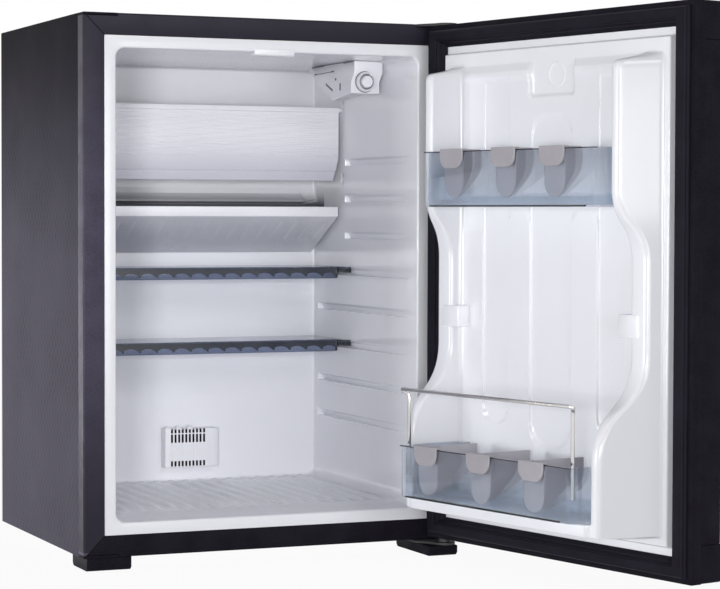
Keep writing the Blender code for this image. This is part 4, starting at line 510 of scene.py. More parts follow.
def put_out(group, result, *sockets):
    """Lead sockets to a group's outputs, in their order."""
    for target, socket in zip(result, sockets):
        group.links.new(socket, target)


def mould_grain():
    """Moulded surface: faint cloudy colour, uneven gloss and a fine skin texture."""
    group, given, result = make_group("Mould grain", {
        "Colour": (1, 1, 1, 1), "Shade": (0.5, 0.5, 0.5, 1), "Cloud scale": 9.0,
        "Skin scale": 900.0, "Gloss low": 0.25, "Gloss high": 0.4})
    cloud = noise(group, given["Vector"], given["Cloud scale"], 4.0, 0.6)
    skin = noise(group, given["Vector"], given["Skin scale"], 2.0)
    colour = blended(group, ranged(group, cloud, 0.3, 0.75), given["Colour"], given["Shade"])
    gloss = ranged(group, maths(group, "ADD", cloud, skin), 0.7, 1.3, given["Gloss low"],
                   given["Gloss high"])
    put_out(group, result, colour, gloss, skin)
    return group


def pebble_grain():
    """Grained surface: rounded cells with lighter middles under a cloudy gloss."""
    group, given, result = make_group("Pebble grain", {
        "Colour": (0, 0, 0, 1), "Tops": (0.1, 0.1, 0.1, 1), "Cell scale": 700.0,
        "Gloss low": 0.4, "Gloss high": 0.6})
    cells = feed(group, "TexVoronoi", {"feature": "SMOOTH_F1"}, Vector=given["Vector"],
                 Scale=given["Cell scale"], Smoothness=0.6).outputs["Distance"]
    cloud = noise(group, given["Vector"], 40.0, 5.0)
    away = ranged(group, maths(group, "MULTIPLY", cells, cloud), 0.0, 0.45)
    colour = blended(group, away, given["Tops"], given["Colour"])
    gloss = ranged(group, cloud, 0.3, 0.7, given["Gloss low"], given["Gloss high"])
    put_out(group, result, colour, gloss, cells)
    return group


def dash_emboss():
    """Embossed steel: rows of short upright dashes. Along the sheet u and upwards v, the height
    is the product of two cosines, with every second column half a step higher, over fine noise."""
    group, given, result = make_group("Dash emboss", {
        "Colour": (0, 0, 0, 1), "Hollows": (0, 0, 0, 1), "Column step": 0.006,
        "Dash step": 0.014})
    part = feed(group, "SeparateXYZ", Vector=given["Vector"]).outputs
    column = maths(group, "DIVIDE", maths(group, "ADD", part["X"], part["Y"]),
                   given["Column step"])
    dash = maths(group, "DIVIDE", part["Z"], given["Dash step"])
    shifted = maths(group, "MULTIPLY_ADD", maths(group, "ROUND", column), 0.5, dash)
    waves = [ranged(group, maths(group, "COSINE", maths(group, "MULTIPLY", turns, 2.0 * math.pi)),
                    -0.6, 1.0) for turns in (column, shifted)]
    skin = noise(group, given["Vector"], 700.0, 3.0)
    cloud = noise(group, given["Vector"], 14.0, 4.0)
    relief = maths(group, "MULTIPLY_ADD", skin, 0.7, maths(group, "MULTIPLY", *waves))
    tone = ranged(group, maths(group, "MULTIPLY", relief, cloud), 0.1, 0.8)
    colour = blended(group, tone, given["Colour"], given["Hollows"])
    put_out(group, result, colour, ranged(group, cloud, 0.0, 1.0, 0.62, 0.80), relief)
    return group


def drawn_metal():
    """Metal with fine lines along one axis and faint stains."""
    group, given, result = make_group("Drawn metal", {
        "Colour": (1, 1, 1, 1), "Stain": (0.5, 0.5, 0.5, 1), "Gloss low": 0.2,
        "Gloss high": 0.4})
    stretched = feed(group, "Mapping", Vector=given["Vector"], Scale=(1400.0, 60.0, 60.0))
    lines = noise(group, stretched.outputs[0], 1.0, 3.0)
    veil = ranged(group, noise(group, given["Vector"], 25.0, 5.0), 0.4, 0.75)
    colour = blended(group, veil, given["Colour"], given["Stain"])
    gloss = ranged(group, lines, 0.0, 1.0, given["Gloss low"], given["Gloss high"])
    put_out(group, result, colour, gloss, lines)
    return group


def painted_shade_strip():
    """A strip of painted shade between two heights, behind a depth: it fades evenly from one share
    at its foot to another at its top."""
    group, given, result = make_group("Shaded strip", {
        "Colour": (1, 1, 1, 1), "Shade": (0.2, 0.2, 0.2, 1), "Low": 0.0, "High": 0.02,
        "Depth": 0.0, "At the foot": 1.0, "At the top": 0.0}, ("Colour",))
    part = feed(group, "SeparateXYZ", Vector=given["Vector"]).outputs
    fall = ranged(group, part["Z"], given["Low"], given["High"], given["At the foot"],
                  given["At the top"], "SMOOTHSTEP")
    above = maths(group, "GREATER_THAN", part["Z"], given["Low"])
    deep = maths(group, "GREATER_THAN", part["Y"], given["Depth"])
    cover = maths(group, "MULTIPLY", maths(group, "MULTIPLY", above, deep), fall)
    put_out(group, result, blended(group, cover, given["Colour"], given["Shade"]))
    return group


def use_group(tree, group, *values):
    """A group on Object coordinates; values go to its other inputs in their order."""
    node = tree.nodes.new("ShaderNodeGroup")
    node.node_tree = group
    place = feed(tree, "TexCoord").outputs["Object"]
    for socket, value in zip(node.inputs, (place, *values)):
        give(tree, socket, value)
    return node.outputs


def finish_from(name, group, values, strength, distance, shader_values=None):
    """A material: a group feeds its colour, its roughness and a bump of a strength and a
    distance; other values of the shader are set on it."""
    material = bpy.data.materials.new(name)
    material.use_nodes = True
    tree = material.node_tree
    inputs = tree.nodes["Principled BSDF"].inputs
    pattern = use_group(tree, group, *values)
    relief = feed(tree, "Bump", Strength=strength, Distance=distance, Height=pattern["Height"])
    for key, value in {**(shader_values or {}), "Base Color": pattern["Colour"],
                       "Roughness": pattern["Roughness"], "Normal": relief.outputs[0]}.items():
        give(tree, inputs[key], value)
    return material


def base_colour(material):
    """A finish's tree, the input of its colour and the socket that feeds it."""
    target = material.node_tree.nodes["Principled BSDF"].inputs["Base Color"]
    return material.node_tree, target, target.links[0].from_socket


def add_strip(material, strip, low, high, depth, shade, upward=False):
    """Lay a strip of painted shade over a finish's colour; it can also grow darker upwards."""
    tree, target, source = base_colour(material)
    shares = (0.0, 1.0) if upward else (1.0, 0.0)
    toned = use_group(tree, strip, source, shade, low, high, depth, *shares)
    tree.links.new(toned["Colour"], target)


def add_painted_facing_shade(material, share):
    """Paint shade into a finish's colour: it is toned down to a share where the piece's facing
    attribute is 1.
    """
    tree, target, source = base_colour(material)
    facing = feed(tree, "Attribute", {"attribute_name": "facing"}).outputs["Fac"]
    cover = ranged(tree, facing, 0.0, 1.0, 1.0, share)
    toned = feed(tree, "VectorMath", {"operation": "SCALE"}, i0=source, i3=cover)
    tree.links.new(toned.outputs[0], target)


def shades(colour, *shares):
    """Shares of a colour, each with full cover."""
    return [(*[min(1.0, part * share) for part in colour], 1.0) for share in shares]


def make_finishes(settings):
    """Every finish of the fridge by its short name. A row has the material's name, its group,
    the values of the group, the bump's strength and distance, and values of the shader."""
    mould, pebble, dashes, metal = mould_grain(), pebble_grain(), dash_emboss(), drawn_metal()
    white, black, steel = tuple(settings.white), tuple(settings.black), tuple(settings.side)
    grey, smoke, blue = tuple(settings.grey), tuple(settings.smoke), tuple(settings.blue)
    shine, clear, bend = "Specular IOR Level", "Transmission Weight", "IOR"
    rows = {
        # The tub's white; a strip laid on it below paints shade in a band on the back wall just
        # above the tray.
        "liner_white": ("Formed white sheet", mould,
                        (*shades(white, 1.0, 0.955), 5.0, 260.0, 0.13, 0.20), 0.03, 0.0001),
        # A darker copy of the tub's white for the rim's front faces: painted shade.
        "rim_white_painted_shade": ("Formed white rim", mould,
                      (*shades(white, 0.88, 0.85), 5.0, 260.0, 0.13, 0.20), 0.03, 0.0001),
        # The door's white is a little darker than the tub's and is toned down further on faces that
        # look to the front: painted shade.
        "door_white_painted_shade": ("Formed white door sheet", mould,
                       (*shades(white, 0.94, 0.90), 5.0, 260.0, 0.15, 0.22), 0.03, 0.0001),
        "moulded_white": ("Moulded white plastic", mould,
                          (*shades(white, 0.93, 0.885), 16.0, 1300.0, 0.24, 0.36), 0.08, 0.0001),
        # The flap's white; a strip below paints shade over its leaning foot.
        "flap_white": ("Moulded white flap", mould,
                       (*shades(white, 0.93, 0.885), 16.0, 1300.0, 0.24, 0.36), 0.08, 0.0001),
        "grained_black": ("Grained black plastic", pebble,
                          (*shades(black, 0.8, 1.9), 900.0, 0.58, 0.74), 0.3, 0.0002,
                          {shine: 0.05}),
        # The front bars' black is lit up to six and ten times the black, and strips below darken
        # both ends: a painted highlight at mid-height.
        "front_black": ("Grained front bar", pebble,
                        (*shades(black, 6.0, 10.5), 900.0, 0.42, 0.56), 0.3, 0.0002,
                        {shine: 0.14}),
        # A strip below paints the side steel darker towards the top: painted shade standing in for
        # a reflection of a dark room.
        "side_steel": ("Embossed side steel", dashes, shades(steel, 1.0, 0.62), 0.3, 0.0003,
                       {shine: 0.02}),
        "soft_black": ("Black seal rubber", mould,
                       (*shades(black, 1.2, 2.0), 30.0, 1500.0, 0.45, 0.65), 0.1, 0.0002,
                       {shine: 0.05}),
        "divider_grey": ("Grey moulded plastic", mould,
                         (*shades(grey, 1.0, 0.9), 25.0, 1600.0, 0.42, 0.58), 0.2, 0.0002),
        "smoky": ("Smoky clear plastic", mould,
                  (*shades(smoke, 1.0, 0.96), 12.0, 300.0, 0.02, 0.06), 0.02, 0.0001,
                  {clear: 1.0, bend: 1.14, "Alpha": 0.55}),
        # Near-black edge strips of the racks: painted shade where clear plastic edges look dark.
        "smoky_dark": ("Smoky plastic edge", mould,
                       (*shades(smoke, 0.06, 0.04), 12.0, 300.0, 0.1, 0.2), 0.02, 0.0001,
                       {clear: 0.2, bend: 1.3}),
        "shadow_grey": ("Shadowed opening", mould,
                        ((0.025, 0.025, 0.032, 1.0), (0.016, 0.016, 0.022, 1.0), 60.0, 900.0,
                         0.5, 0.7), 0.1, 0.0001, {shine: 0.2}),
        "slot_grey": ("Shaded groove", mould,
                      ((0.21, 0.21, 0.24, 1.0), (0.14, 0.14, 0.16, 1.0), 60.0, 900.0,
                       0.5, 0.7), 0.1, 0.0001, {shine: 0.2}),
        "blue_clear": ("Blue clear plastic", mould,
                       (*shades(blue, 1.0, 0.85), 30.0, 500.0, 0.06, 0.14), 0.08, 0.0002,
                       {clear: 0.85, bend: 1.3}),
        "blue_dark": ("Blue plastic in depth", mould,
                      (*shades(blue, 0.13, 0.08), 30.0, 500.0, 0.10, 0.2), 0.08, 0.0002,
                      {clear: 0.25, bend: 1.46}),
        "milky": ("Milky clear plastic", mould,
                  ((0.93, 0.94, 0.95, 1.0), (0.88, 0.89, 0.91, 1.0), 40.0, 800.0, 0.2, 0.3),
                  0.1, 0.0002, {clear: 0.6, bend: 1.46}),
        "chrome": ("Chromed wire", metal,
                   ((0.72, 0.70, 0.69, 1.0), (0.60, 0.58, 0.57, 1.0), 0.10, 0.2), 0.05, 0.0001,
                   {"Metallic": 1.0}),
        "aluminium": ("Cold plate aluminium", metal,
                      ((0.72, 0.73, 0.75, 1.0), (0.60, 0.61, 0.64, 1.0), 0.3, 0.5), 0.2, 0.0002,
                      {"Metallic": 1.0}),
        "zinc": ("Zinc-plated sheet", metal,
                 ((0.46, 0.47, 0.49, 1.0), (0.36, 0.37, 0.40, 1.0), 0.32, 0.5), 0.2, 0.0002,
                 {"Metallic": 0.9}),
        "enamel": ("Black enamel", mould,
                   ((0.018, 0.018, 0.020, 1.0), (0.032, 0.031, 0.033, 1.0), 22.0, 600.0,
                    0.45, 0.65), 0.3, 0.0004),
        "foam": ("Rigid foam", pebble,
                 ((0.62, 0.54, 0.36, 1.0), (0.80, 0.72, 0.52, 1.0), 500.0, 0.85, 0.97),
                 0.5, 0.0006),
    }
    made = {short: finish_from(*row) for short, row in rows.items()}
    # Painted shade on the door liner's faces that look to the front.
    add_painted_facing_shade(made["door_white_painted_shade"], 0.78)
    strip = painted_shade_strip()
    flap_foot = span("freezer_flap")[0][2] + HOME[2]
    tray_top = span("drip_tray")[1][2] + HOME[2]
    anywhere = -1.0
    # Strips of painted shade: the flap's leaning foot is darker; the side steel grows darker
    # towards the top, a painted reflection of a dark room; the front bars grow darker towards both
    # ends, which leaves a painted highlight at mid-height; the tub's back wall is darker in a band
    # just above the tray.
    for short, *values in (
        ("flap_white", flap_foot - 0.001, flap_foot + 0.060, anywhere, (0.555, 0.550, 0.625, 1.0)),
        ("side_steel", 0.30, 0.585, anywhere, *shades(steel, 0.12), True),
        ("front_black", 0.36, 0.58, anywhere, *shades(black, 2.6), True),
        ("front_black", 0.02, 0.25, anywhere, *shades(black, 2.6)),
        ("liner_white", tray_top - 0.001, tray_top + 0.0185, 0.262, (0.13, 0.13, 0.16, 1.0)),
    ):
        add_strip(made[short], strip, *values)
    return made


# Settings

COLOUR = {"subtype": "COLOR", "size": 3, "min": 0.0, "max": 1.0}
POWER = {"min": 0.0, "max": 500.0, "unit": "POWER"}


class FinishSettings(bpy.types.PropertyGroup):
    """Colours of the finishes."""

    white: bpy.props.FloatVectorProperty(
        name="White plastic", description="Colour of the liners and the white mouldings",
        default=(0.90, 0.905, 0.955), **COLOUR)
    black: bpy.props.FloatVectorProperty(
        name="Black plastic", description="Colour of the frame, the trims and the feet",
        default=(0.0072, 0.0064, 0.0100), **COLOUR)
    side: bpy.props.FloatVectorProperty(
        name="Side steel", description="Colour of the embossed sides, the top and the door's front",
        default=(0.086, 0.081, 0.104), **COLOUR)
    grey: bpy.props.FloatVectorProperty(
        name="Dividers", description="Colour of the bottle dividers",
        default=(0.36, 0.345, 0.375), **COLOUR)
    smoke: bpy.props.FloatVectorProperty(
        name="Door racks", description="Tint of the clear door racks",
        default=(0.68, 0.745, 0.82), **COLOUR)
    blue: bpy.props.FloatVectorProperty(
        name="Shelves", description="Tint of the clear shelves",
        default=(0.36, 0.42, 0.58), **COLOUR)


class CabinetSettings(bpy.types.PropertyGroup):
    """Sizes of the cabinet's pieces."""

    edge: bpy.props.FloatProperty(
        name="Edge radius", description="Rounding of the mouldings' edges",
        default=0.0007, min=0.0001, max=0.003, unit="LENGTH")
    corner: bpy.props.FloatProperty(
        name="Cavity corner", description="Radius of the cavity's corners along its depth",
        default=0.010, min=0.004, max=0.02, unit="LENGTH")
    back_fillet: bpy.props.FloatProperty(
        name="Back fillet", description="Radius between the cavity's walls and its back",
        default=0.015, min=0.003, max=0.02, unit="LENGTH")
    flap_ribs: bpy.props.IntProperty(
        name="Flap ribs", description="Fine ribs across the freezer flap",
        default=18, min=0, max=40)
    shelf_teeth: bpy.props.IntProperty(
        name="Shelf ribs", description="Ribs under each shelf, seen through its front lip",
        default=16, min=0, max=30)


class DoorSettings(bpy.types.PropertyGroup):
    """Sizes of the door's pieces."""

    flute_depth: bpy.props.FloatProperty(
        name="Flute depth", description="Depth of the flutes in the door liner",
        default=0.0024, min=0.0, max=0.005, unit="LENGTH")
    wall_round: bpy.props.FloatProperty(
        name="Wall rounding", description="Rounding along the tops of the liner's side walls",
        default=0.005, min=0.001, max=0.01, unit="LENGTH")


class StageSettings(bpy.types.PropertyGroup):
    """Lights, floor and camera."""

    sky: bpy.props.FloatProperty(
        name="Room light", description="Strength of the even light from all sides",
        default=0.03, min=0.0, max=2.0)
    key: bpy.props.FloatProperty(
        name="Side lamp", description="Power of the large lamp at the left",
        default=25.5, **POWER)
    fill: bpy.props.FloatProperty(
        name="Front lamp", description="Power of the large lamp in front",
        default=20.0, **POWER)
    low: bpy.props.FloatProperty(
        name="Low lamp", description="Power of the low lamp behind on the left",
        default=1.1, **POWER)
    top: bpy.props.FloatProperty(
        name="Top lamp", description="Power of the high lamp in front",
        default=15.0, **POWER)
    slant: bpy.props.FloatProperty(
        name="Slanting lamp", description="Power of the lamp in front on the left",
        default=31.0, **POWER)
    floor: bpy.props.FloatVectorProperty(
        name="Floor", description="Colour of the floor", default=(0.94, 0.94, 0.95), **COLOUR)
    lens: bpy.props.FloatProperty(
        name="Lens", description="Focal length on a 36 mm sensor",
        default=116.84, min=10.0, max=300.0, unit="CAMERA")


class MINIBAR_OT_finishes(bpy.types.Operator):
    """Build every finish"""

    bl_idname = "minibar.finishes"
    bl_label = "Finishes"

    def execute(self, context):
        FINISH.update(make_finishes(context.scene.minibar_finish))
        return {"FINISHED"}


# Cabinet

WALL = 0.0346               # Thickness of the cabinet's wall beside and above the cavity
FLOOR = WALL + 0.0055       # Height of the cavity's floor
BACK = 0.2855               # Depth of the cavity
LINER_SHEET = 0.0014
GAP = 0.0003                # Play between neighbouring pieces
RUNNER_HALF = 0.0035        # Half a runner's height
RUNNER_COUNT = 8
SHORT_RUNNERS = 3           # The highest ones, beside the flap
SHELF_LEVELS = (2, 4)       # Runners under the lower and the upper shelf
RIB_PITCH = 0.0176          # Step of the ribs on the floor and under the tray
ARC_STEPS = 3               # Points on the half corner at each end of a ring's side


def runner_heights():
    """Middle of each runner: evenly spaced through the levels of the two shelves."""
    tops = []
    for node in ("shelf_lower", "shelf_upper"):
        points = node_points(node)
        side = points[points[:, 0] < points[:, 0].min() + 0.001]
        tops.append(side[:, 2].min() - GAP - RUNNER_HALF)
    step = (tops[1] - tops[0]) / (SHELF_LEVELS[1] - SHELF_LEVELS[0])
    return tops[0] + step * (np.arange(RUNNER_COUNT) - SHELF_LEVELS[0])


def runner_relief(depth, height):
    """How far the shelf grooves go into the side wall, below zero. Each is a scoop that deepens
    evenly from a soft upper edge down to a sharp lower lip, times a steady fall towards the
    front, and ends behind in an upright face."""
    total = np.zeros(np.broadcast(depth, height).shape)
    for level, middle in enumerate(runner_heights()):
        short = level >= RUNNER_COUNT - SHORT_RUNNERS
        end, reach = (0.196, 0.0066) if short else (BACK - 0.0102, 0.0070)
        low = middle - 0.0032
        share = np.clip((height - low) / 0.0084, 0.0, 1.0)
        scoop = rise(height, low - 0.0003, low + 0.0001) * (1.0 - 0.5 * share)
        scoop = scoop * (1.0 - rise(share, 0.62, 1.0))
        run = np.clip((depth - 0.010) / (end - 0.010), 0.0, 1.0) ** 0.9
        run = run * (1.0 - rise(depth, end - 0.0022, end))
        total = total - reach * scoop * run
    return total


def slot_relief(depth, height):
    """Shallow upright slots in the side wall by the flap's pivot and its latch."""
    return 0.0012 * sum(patch(depth, height, (0.2036, low), (0.2052, high), 0.0004, 0.0004)
                        for low, high in ((0.3815, 0.3925), (0.4660, 0.4735)))


def back_ledge(height, tray_top):
    """How far the back wall comes forward above the tray: a slope of 6.5 mm, with a narrow
    groove across its foot."""
    up = height - tray_top
    return 0.0065 * between(up, -0.0010, 0.0004, 0.0068, 0.0172) \
        - 0.0068 * between(up, 0.0013, 0.0023, 0.0041, 0.0051)


def floor_relief(across, depth, left, right):
    """Low ribs across the floor: a raised cosine of the place across, eased out at both ends."""
    phase = (across - (left + right) / 2.0) / RIB_PITCH
    wave = np.clip(np.cos(2.0 * math.pi * phase) * 1.35 + 0.05, -0.45, 1.0)
    along = between(depth, 0.036, 0.062, BACK - 0.016, BACK - 0.009)
    aside = between(across, left + 0.012, left + 0.018, right - 0.018, right - 0.012)
    return 0.0028 * (wave + 0.45) / 1.45 * along * aside


def within(places, low, high):
    """The places from a lowest to a highest one."""
    return places[(places >= low - MERGE) & (places <= high + MERGE)]


def liner_samples(width, upper, corner, tray_top):
    """Places across and up at which the rings have points: close together at each relief."""
    runners = RUNNER_HALF * np.array((
        -1.2, -1.01, -0.98, -0.95, -0.92, -0.885, -0.6, -0.2, 0.2, 0.5, 0.65, 0.8, 0.95, 1.1,
        1.25, 1.4, 1.49, 1.7))
    ledge = (-0.0012, -0.0005, 0.0002, 0.0006, 0.0013, 0.0018, 0.0023, 0.0040, 0.0046, 0.0051,
             0.0066, 0.0080, 0.0095, 0.0110, 0.0125, 0.0140, 0.0155, 0.0172)
    heights = joined_samples(
        np.add.outer(runner_heights(), runners).ravel(),
        np.linspace(FLOOR + corner, upper - corner, 40), tray_top + np.array(ledge),
        (0.3811, 0.3819, 0.3921, 0.3929, 0.4656, 0.4664, 0.4731, 0.4739))
    middle = width / 2.0
    count = int((middle - WALL - corner) / RIB_PITCH)
    ribs = [middle + index * RIB_PITCH + step * RIB_PITCH / 8.0
            for index in range(-count, count + 1) for step in range(-4, 4)]
    places = joined_samples(ribs, (WALL + corner, width - WALL - corner))
    return (within(places, WALL + corner, width - WALL - corner),
            within(heights, FLOOR + corner, upper - corner))


def liner_stations(low, corner, fillet):
    """The section of the tub from the rim over the mouth along the walls to the back: depth, side
    inset, floor height, top inset and corner radius."""
    rim, edge = low[1], low[0]
    lines = joined_samples(
        np.linspace(0.038, BACK - fillet - 0.001, 26), (0.0385, 0.040, 0.0415, 0.043),
        (0.1848, 0.1872, 0.1938, 0.1945, 0.1953, 0.196),
        (0.2030, 0.2036, 0.2040, 0.2048, 0.2052, 0.2058),
        (BACK - 0.0126, BACK - 0.0118, BACK - 0.0110, BACK - 0.0102))
    walls = [(line, WALL, FLOOR, WALL, corner) for line in lines]
    front = [(rim + 0.002, edge, edge, edge, 0.001), (rim, edge, edge, edge, 0.001),
             (rim, WALL, WALL, WALL, corner), (rim + 0.0247, WALL, WALL + 0.0033, WALL, corner),
             (0.036, WALL, FLOOR, WALL, corner), walls[0]]
    inner = fillet + 0.004
    rear = [walls[-1], (BACK, WALL, FLOOR, WALL, corner),
            (BACK, WALL + inner, FLOOR + inner, WALL + inner, 0.003)]
    start = eased(front, [0, 0.0004, 0.0034, 0.006, 0.004, 0], 6)
    return np.vstack((start[:-1], walls, eased(rear, [0, fillet, 0], 7)[1:]))


def liner_surface(settings):
    """The white tub as one sheet. Rings of points run round the mouth; each ring is a rounded
    rectangle whose distance from the cabinet's sides follows an eased section from the rim over
    the mouth along the walls to the back, and a grid closes the back by blending its four edges:
    (1-v) B(u) + v T(u) + (1-u) L(v) + u R(v) less the blend of the corners. Relief is added along
    each wall's normal."""
    low, high = span("inner_liner")
    width, height = high[0] + low[0], high[2] + low[2]
    corner, fillet = settings.corner, settings.back_fillet
    tray_top = span("drip_tray")[1][2]
    places, heights = liner_samples(width, height - WALL, corner, tray_top)
    share_x = (places - places[0]) / (places[-1] - places[0])
    share_z = (heights - heights[0]) / (heights[-1] - heights[0])

    # Round the ring: bottom, right, top, left. Arcs of 45 degrees belong to each side.
    turn = math.pi / 4.0 - np.linspace(0.0, math.pi / 4.0, ARC_STEPS + 1)[:-1]

    def run(start, end, radius, share):
        """Places along one side of a ring, with its half corners."""
        arc = radius * np.sin(turn)
        straight = (start + radius) + share * (end - start - 2.0 * radius)
        return np.concatenate((start + radius - arc, straight, (end - radius + arc)[::-1]))

    def bow(radius, share):
        """How far that side's points lie inside its straight line: only the half corners do."""
        arc = radius * (1.0 - np.cos(turn))
        return np.concatenate((arc, np.zeros(len(share)), arc[::-1]))

    rings = []
    for depth, inset, bottom, over, radius in liner_stations(low, corner, fillet):
        right, top = width - inset, height - over
        level_x, level_z = run(inset, right, radius, share_x), bow(radius, share_x)
        upright_x, upright_z = right - bow(radius, share_z), run(bottom, top, radius, share_z)
        sides = ((level_x, bottom + level_z), (upright_x, upright_z),
                 (level_x[::-1], top - level_z[::-1]),
                 ((width - upright_x)[::-1], upright_z[::-1]))
        rings.append(np.concatenate([np.column_stack((x, np.full(len(x), depth), z))[:-1]
                                     for x, z in sides]))
    rings = np.array(rings)
    nx, nz = len(level_x), len(upright_z)

    # Relief of the walls
    ends = np.cumsum((0, nx - 1, nz - 1, nx - 1, nz - 1))
    order = np.arange(rings.shape[1])
    on_floor, on_right, _, on_left = [
        (order >= start + ARC_STEPS) & (order <= end - ARC_STEPS)
        for start, end in zip(ends, ends[1:])]
    x, y, z = np.moveaxis(rings.copy(), -1, 0)
    groove = (runner_relief(y, z) - slot_relief(y, z)) * rise(y, low[1] + 0.004, low[1] + 0.006)
    groove = groove * (1.0 - rise(y, BACK - fillet * 0.55, BACK - fillet * 0.05))
    rings[..., 0] += groove * on_left - groove * on_right
    rings[..., 1] -= back_ledge(z, tray_top) * rise(y, BACK - fillet * 0.9, BACK - fillet * 0.25)
    rings[..., 2] += floor_relief(x, y, WALL, width - WALL) * on_floor

    # Back of the tub
    last = np.vstack((rings[-1], rings[-1][:1]))
    bottom, right, top, left = [last[start:end + 1] for start, end in zip(ends, ends[1:])]
    top, left = top[::-1], left[::-1]
    u = ((bottom[:, 0] - bottom[0, 0]) / (bottom[-1, 0] - bottom[0, 0]))[None, :, None]
    v = ((left[:, 2] - left[0, 2]) / (left[-1, 2] - left[0, 2]))[:, None, None]
    sheet = ((1 - v) * bottom[None] + v * top[None] + (1 - u) * left[:, None] + u * right[:, None]
             - (1 - u) * (1 - v) * bottom[0] - u * (1 - v) * bottom[-1]
             - (1 - u) * v * top[0] - u * v * top[-1])
    sheet[..., 1] -= back_ledge(sheet[..., 2], tray_top)
    return merged([(rings, grid_faces(len(rings), rings.shape[1], wrap_cols=True).tolist()),
                   (sheet, grid_faces(nz, nx).tolist())])


class MINIBAR_OT_inner_liner(bpy.types.Operator):
    """Build the cabinet's white tub with its rim, runners, ribbed floor and gutter"""

    bl_idname = "minibar.inner_liner"
    bl_label = "Inner liner"

    def execute(self, context):
        piece = new_piece("white_tub", liner_surface(context.scene.minibar_cabinet),
                          ["liner_white", "rim_white_painted_shade"], "inner_liner")
        # Faces on the rim take the darker white: painted shade.
        rim = span("inner_liner")[0][1] + 0.0006 + HOME[1]
        second_finish(piece, read_vectors(piece.data.polygons, "center")[:, 1] < rim)
        face_towards(piece, in_row((0.2, 0.15, 0.3), "inner_liner"))
        thicken(piece, LINER_SHEET)
        return {"FINISHED"}


class MINIBAR_OT_shell(bpy.types.Operator):
    """Build the steel wrapper, the plates, the black front frame, the blanks and the feet"""

    bl_idname = "minibar.shell"
    bl_label = "Outer shell"

    def execute(self, context):
        edge = context.scene.minibar_cabinet.edge
        for row in (
            ("steel_wrapper", "cabinet_wrapper", 0.0004),
            ("bottom_sheet", "base_plate", 0.0003),
            ("back_sheet", "rear_plate", 0.0003),
            ("front_bar_left", "frame_left", edge, "front_black"),
            ("front_bar_right", "frame_right", edge),
            ("front_bar_top", "frame_top", edge, "front_black"),
            ("front_bar_bottom", "frame_bottom", edge),
            ("seat_cover_top", "hinge_blank_top", edge * 0.7),
            ("seat_cover_bottom", "hinge_blank_bottom", edge * 0.7),
            ("front_left_foot", "foot_front_left", edge * 1.4),
            ("rear_left_foot", "foot_rear_left", edge * 1.4),
            ("rear_right_foot", "foot_rear_right", edge * 1.4),
            ("hinge_side_foot", "hinge_foot", edge * 1.4),
            ("top_hinge_plate", "upper_hinge", edge * 0.6),
            ("bottom_hinge_plate", "lower_hinge", edge * 0.6),
        ):
            softened(*row)
        return {"FINISHED"}


TRAY_FOOT = 0.012           # From the tray's lip down to the foot of its front wall


def raised_foot(points):
    """The tray's front wall ends a little lower than its lip: its lowest front points go up."""
    low, high = span("drip_tray")
    foot = (points[:, 1] < low[1] + 0.008) & (points[:, 2] < high[2] - TRAY_FOOT)
    moved = points.copy()
    moved[foot, 2] = high[2] - TRAY_FOOT
    return moved


def tray_ribs():
    """Low ribs across the sloping underside of the tray, each a flat bar on the line from the
    front wall's foot down to the back."""
    low, high = span("drip_tray")
    start = np.array((low[1] + 0.0024, high[2] - TRAY_FOOT))
    along = np.array((high[1] - 0.001, low[2])) - start
    outward = np.array((along[1], -along[0])) / np.linalg.norm(along)
    shells = []
    for place in np.arange(low[0] + 0.018, high[0] - 0.012, RIB_PITCH):
        loops = []
        for share, reach in ((0.05, 0.0), (0.10, 0.0001), (0.45, 0.0002), (0.62, 0.0)):
            middle = start + along * share
            inner, outer = middle - outward * 0.0008, middle + outward * reach
            loops.append([(place - 0.0042, *inner), (place - 0.0024, *outer),
                          (place + 0.0024, *outer), (place + 0.0042, *inner)])
        shells.append(tube_between(loops))
    return merged(shells)


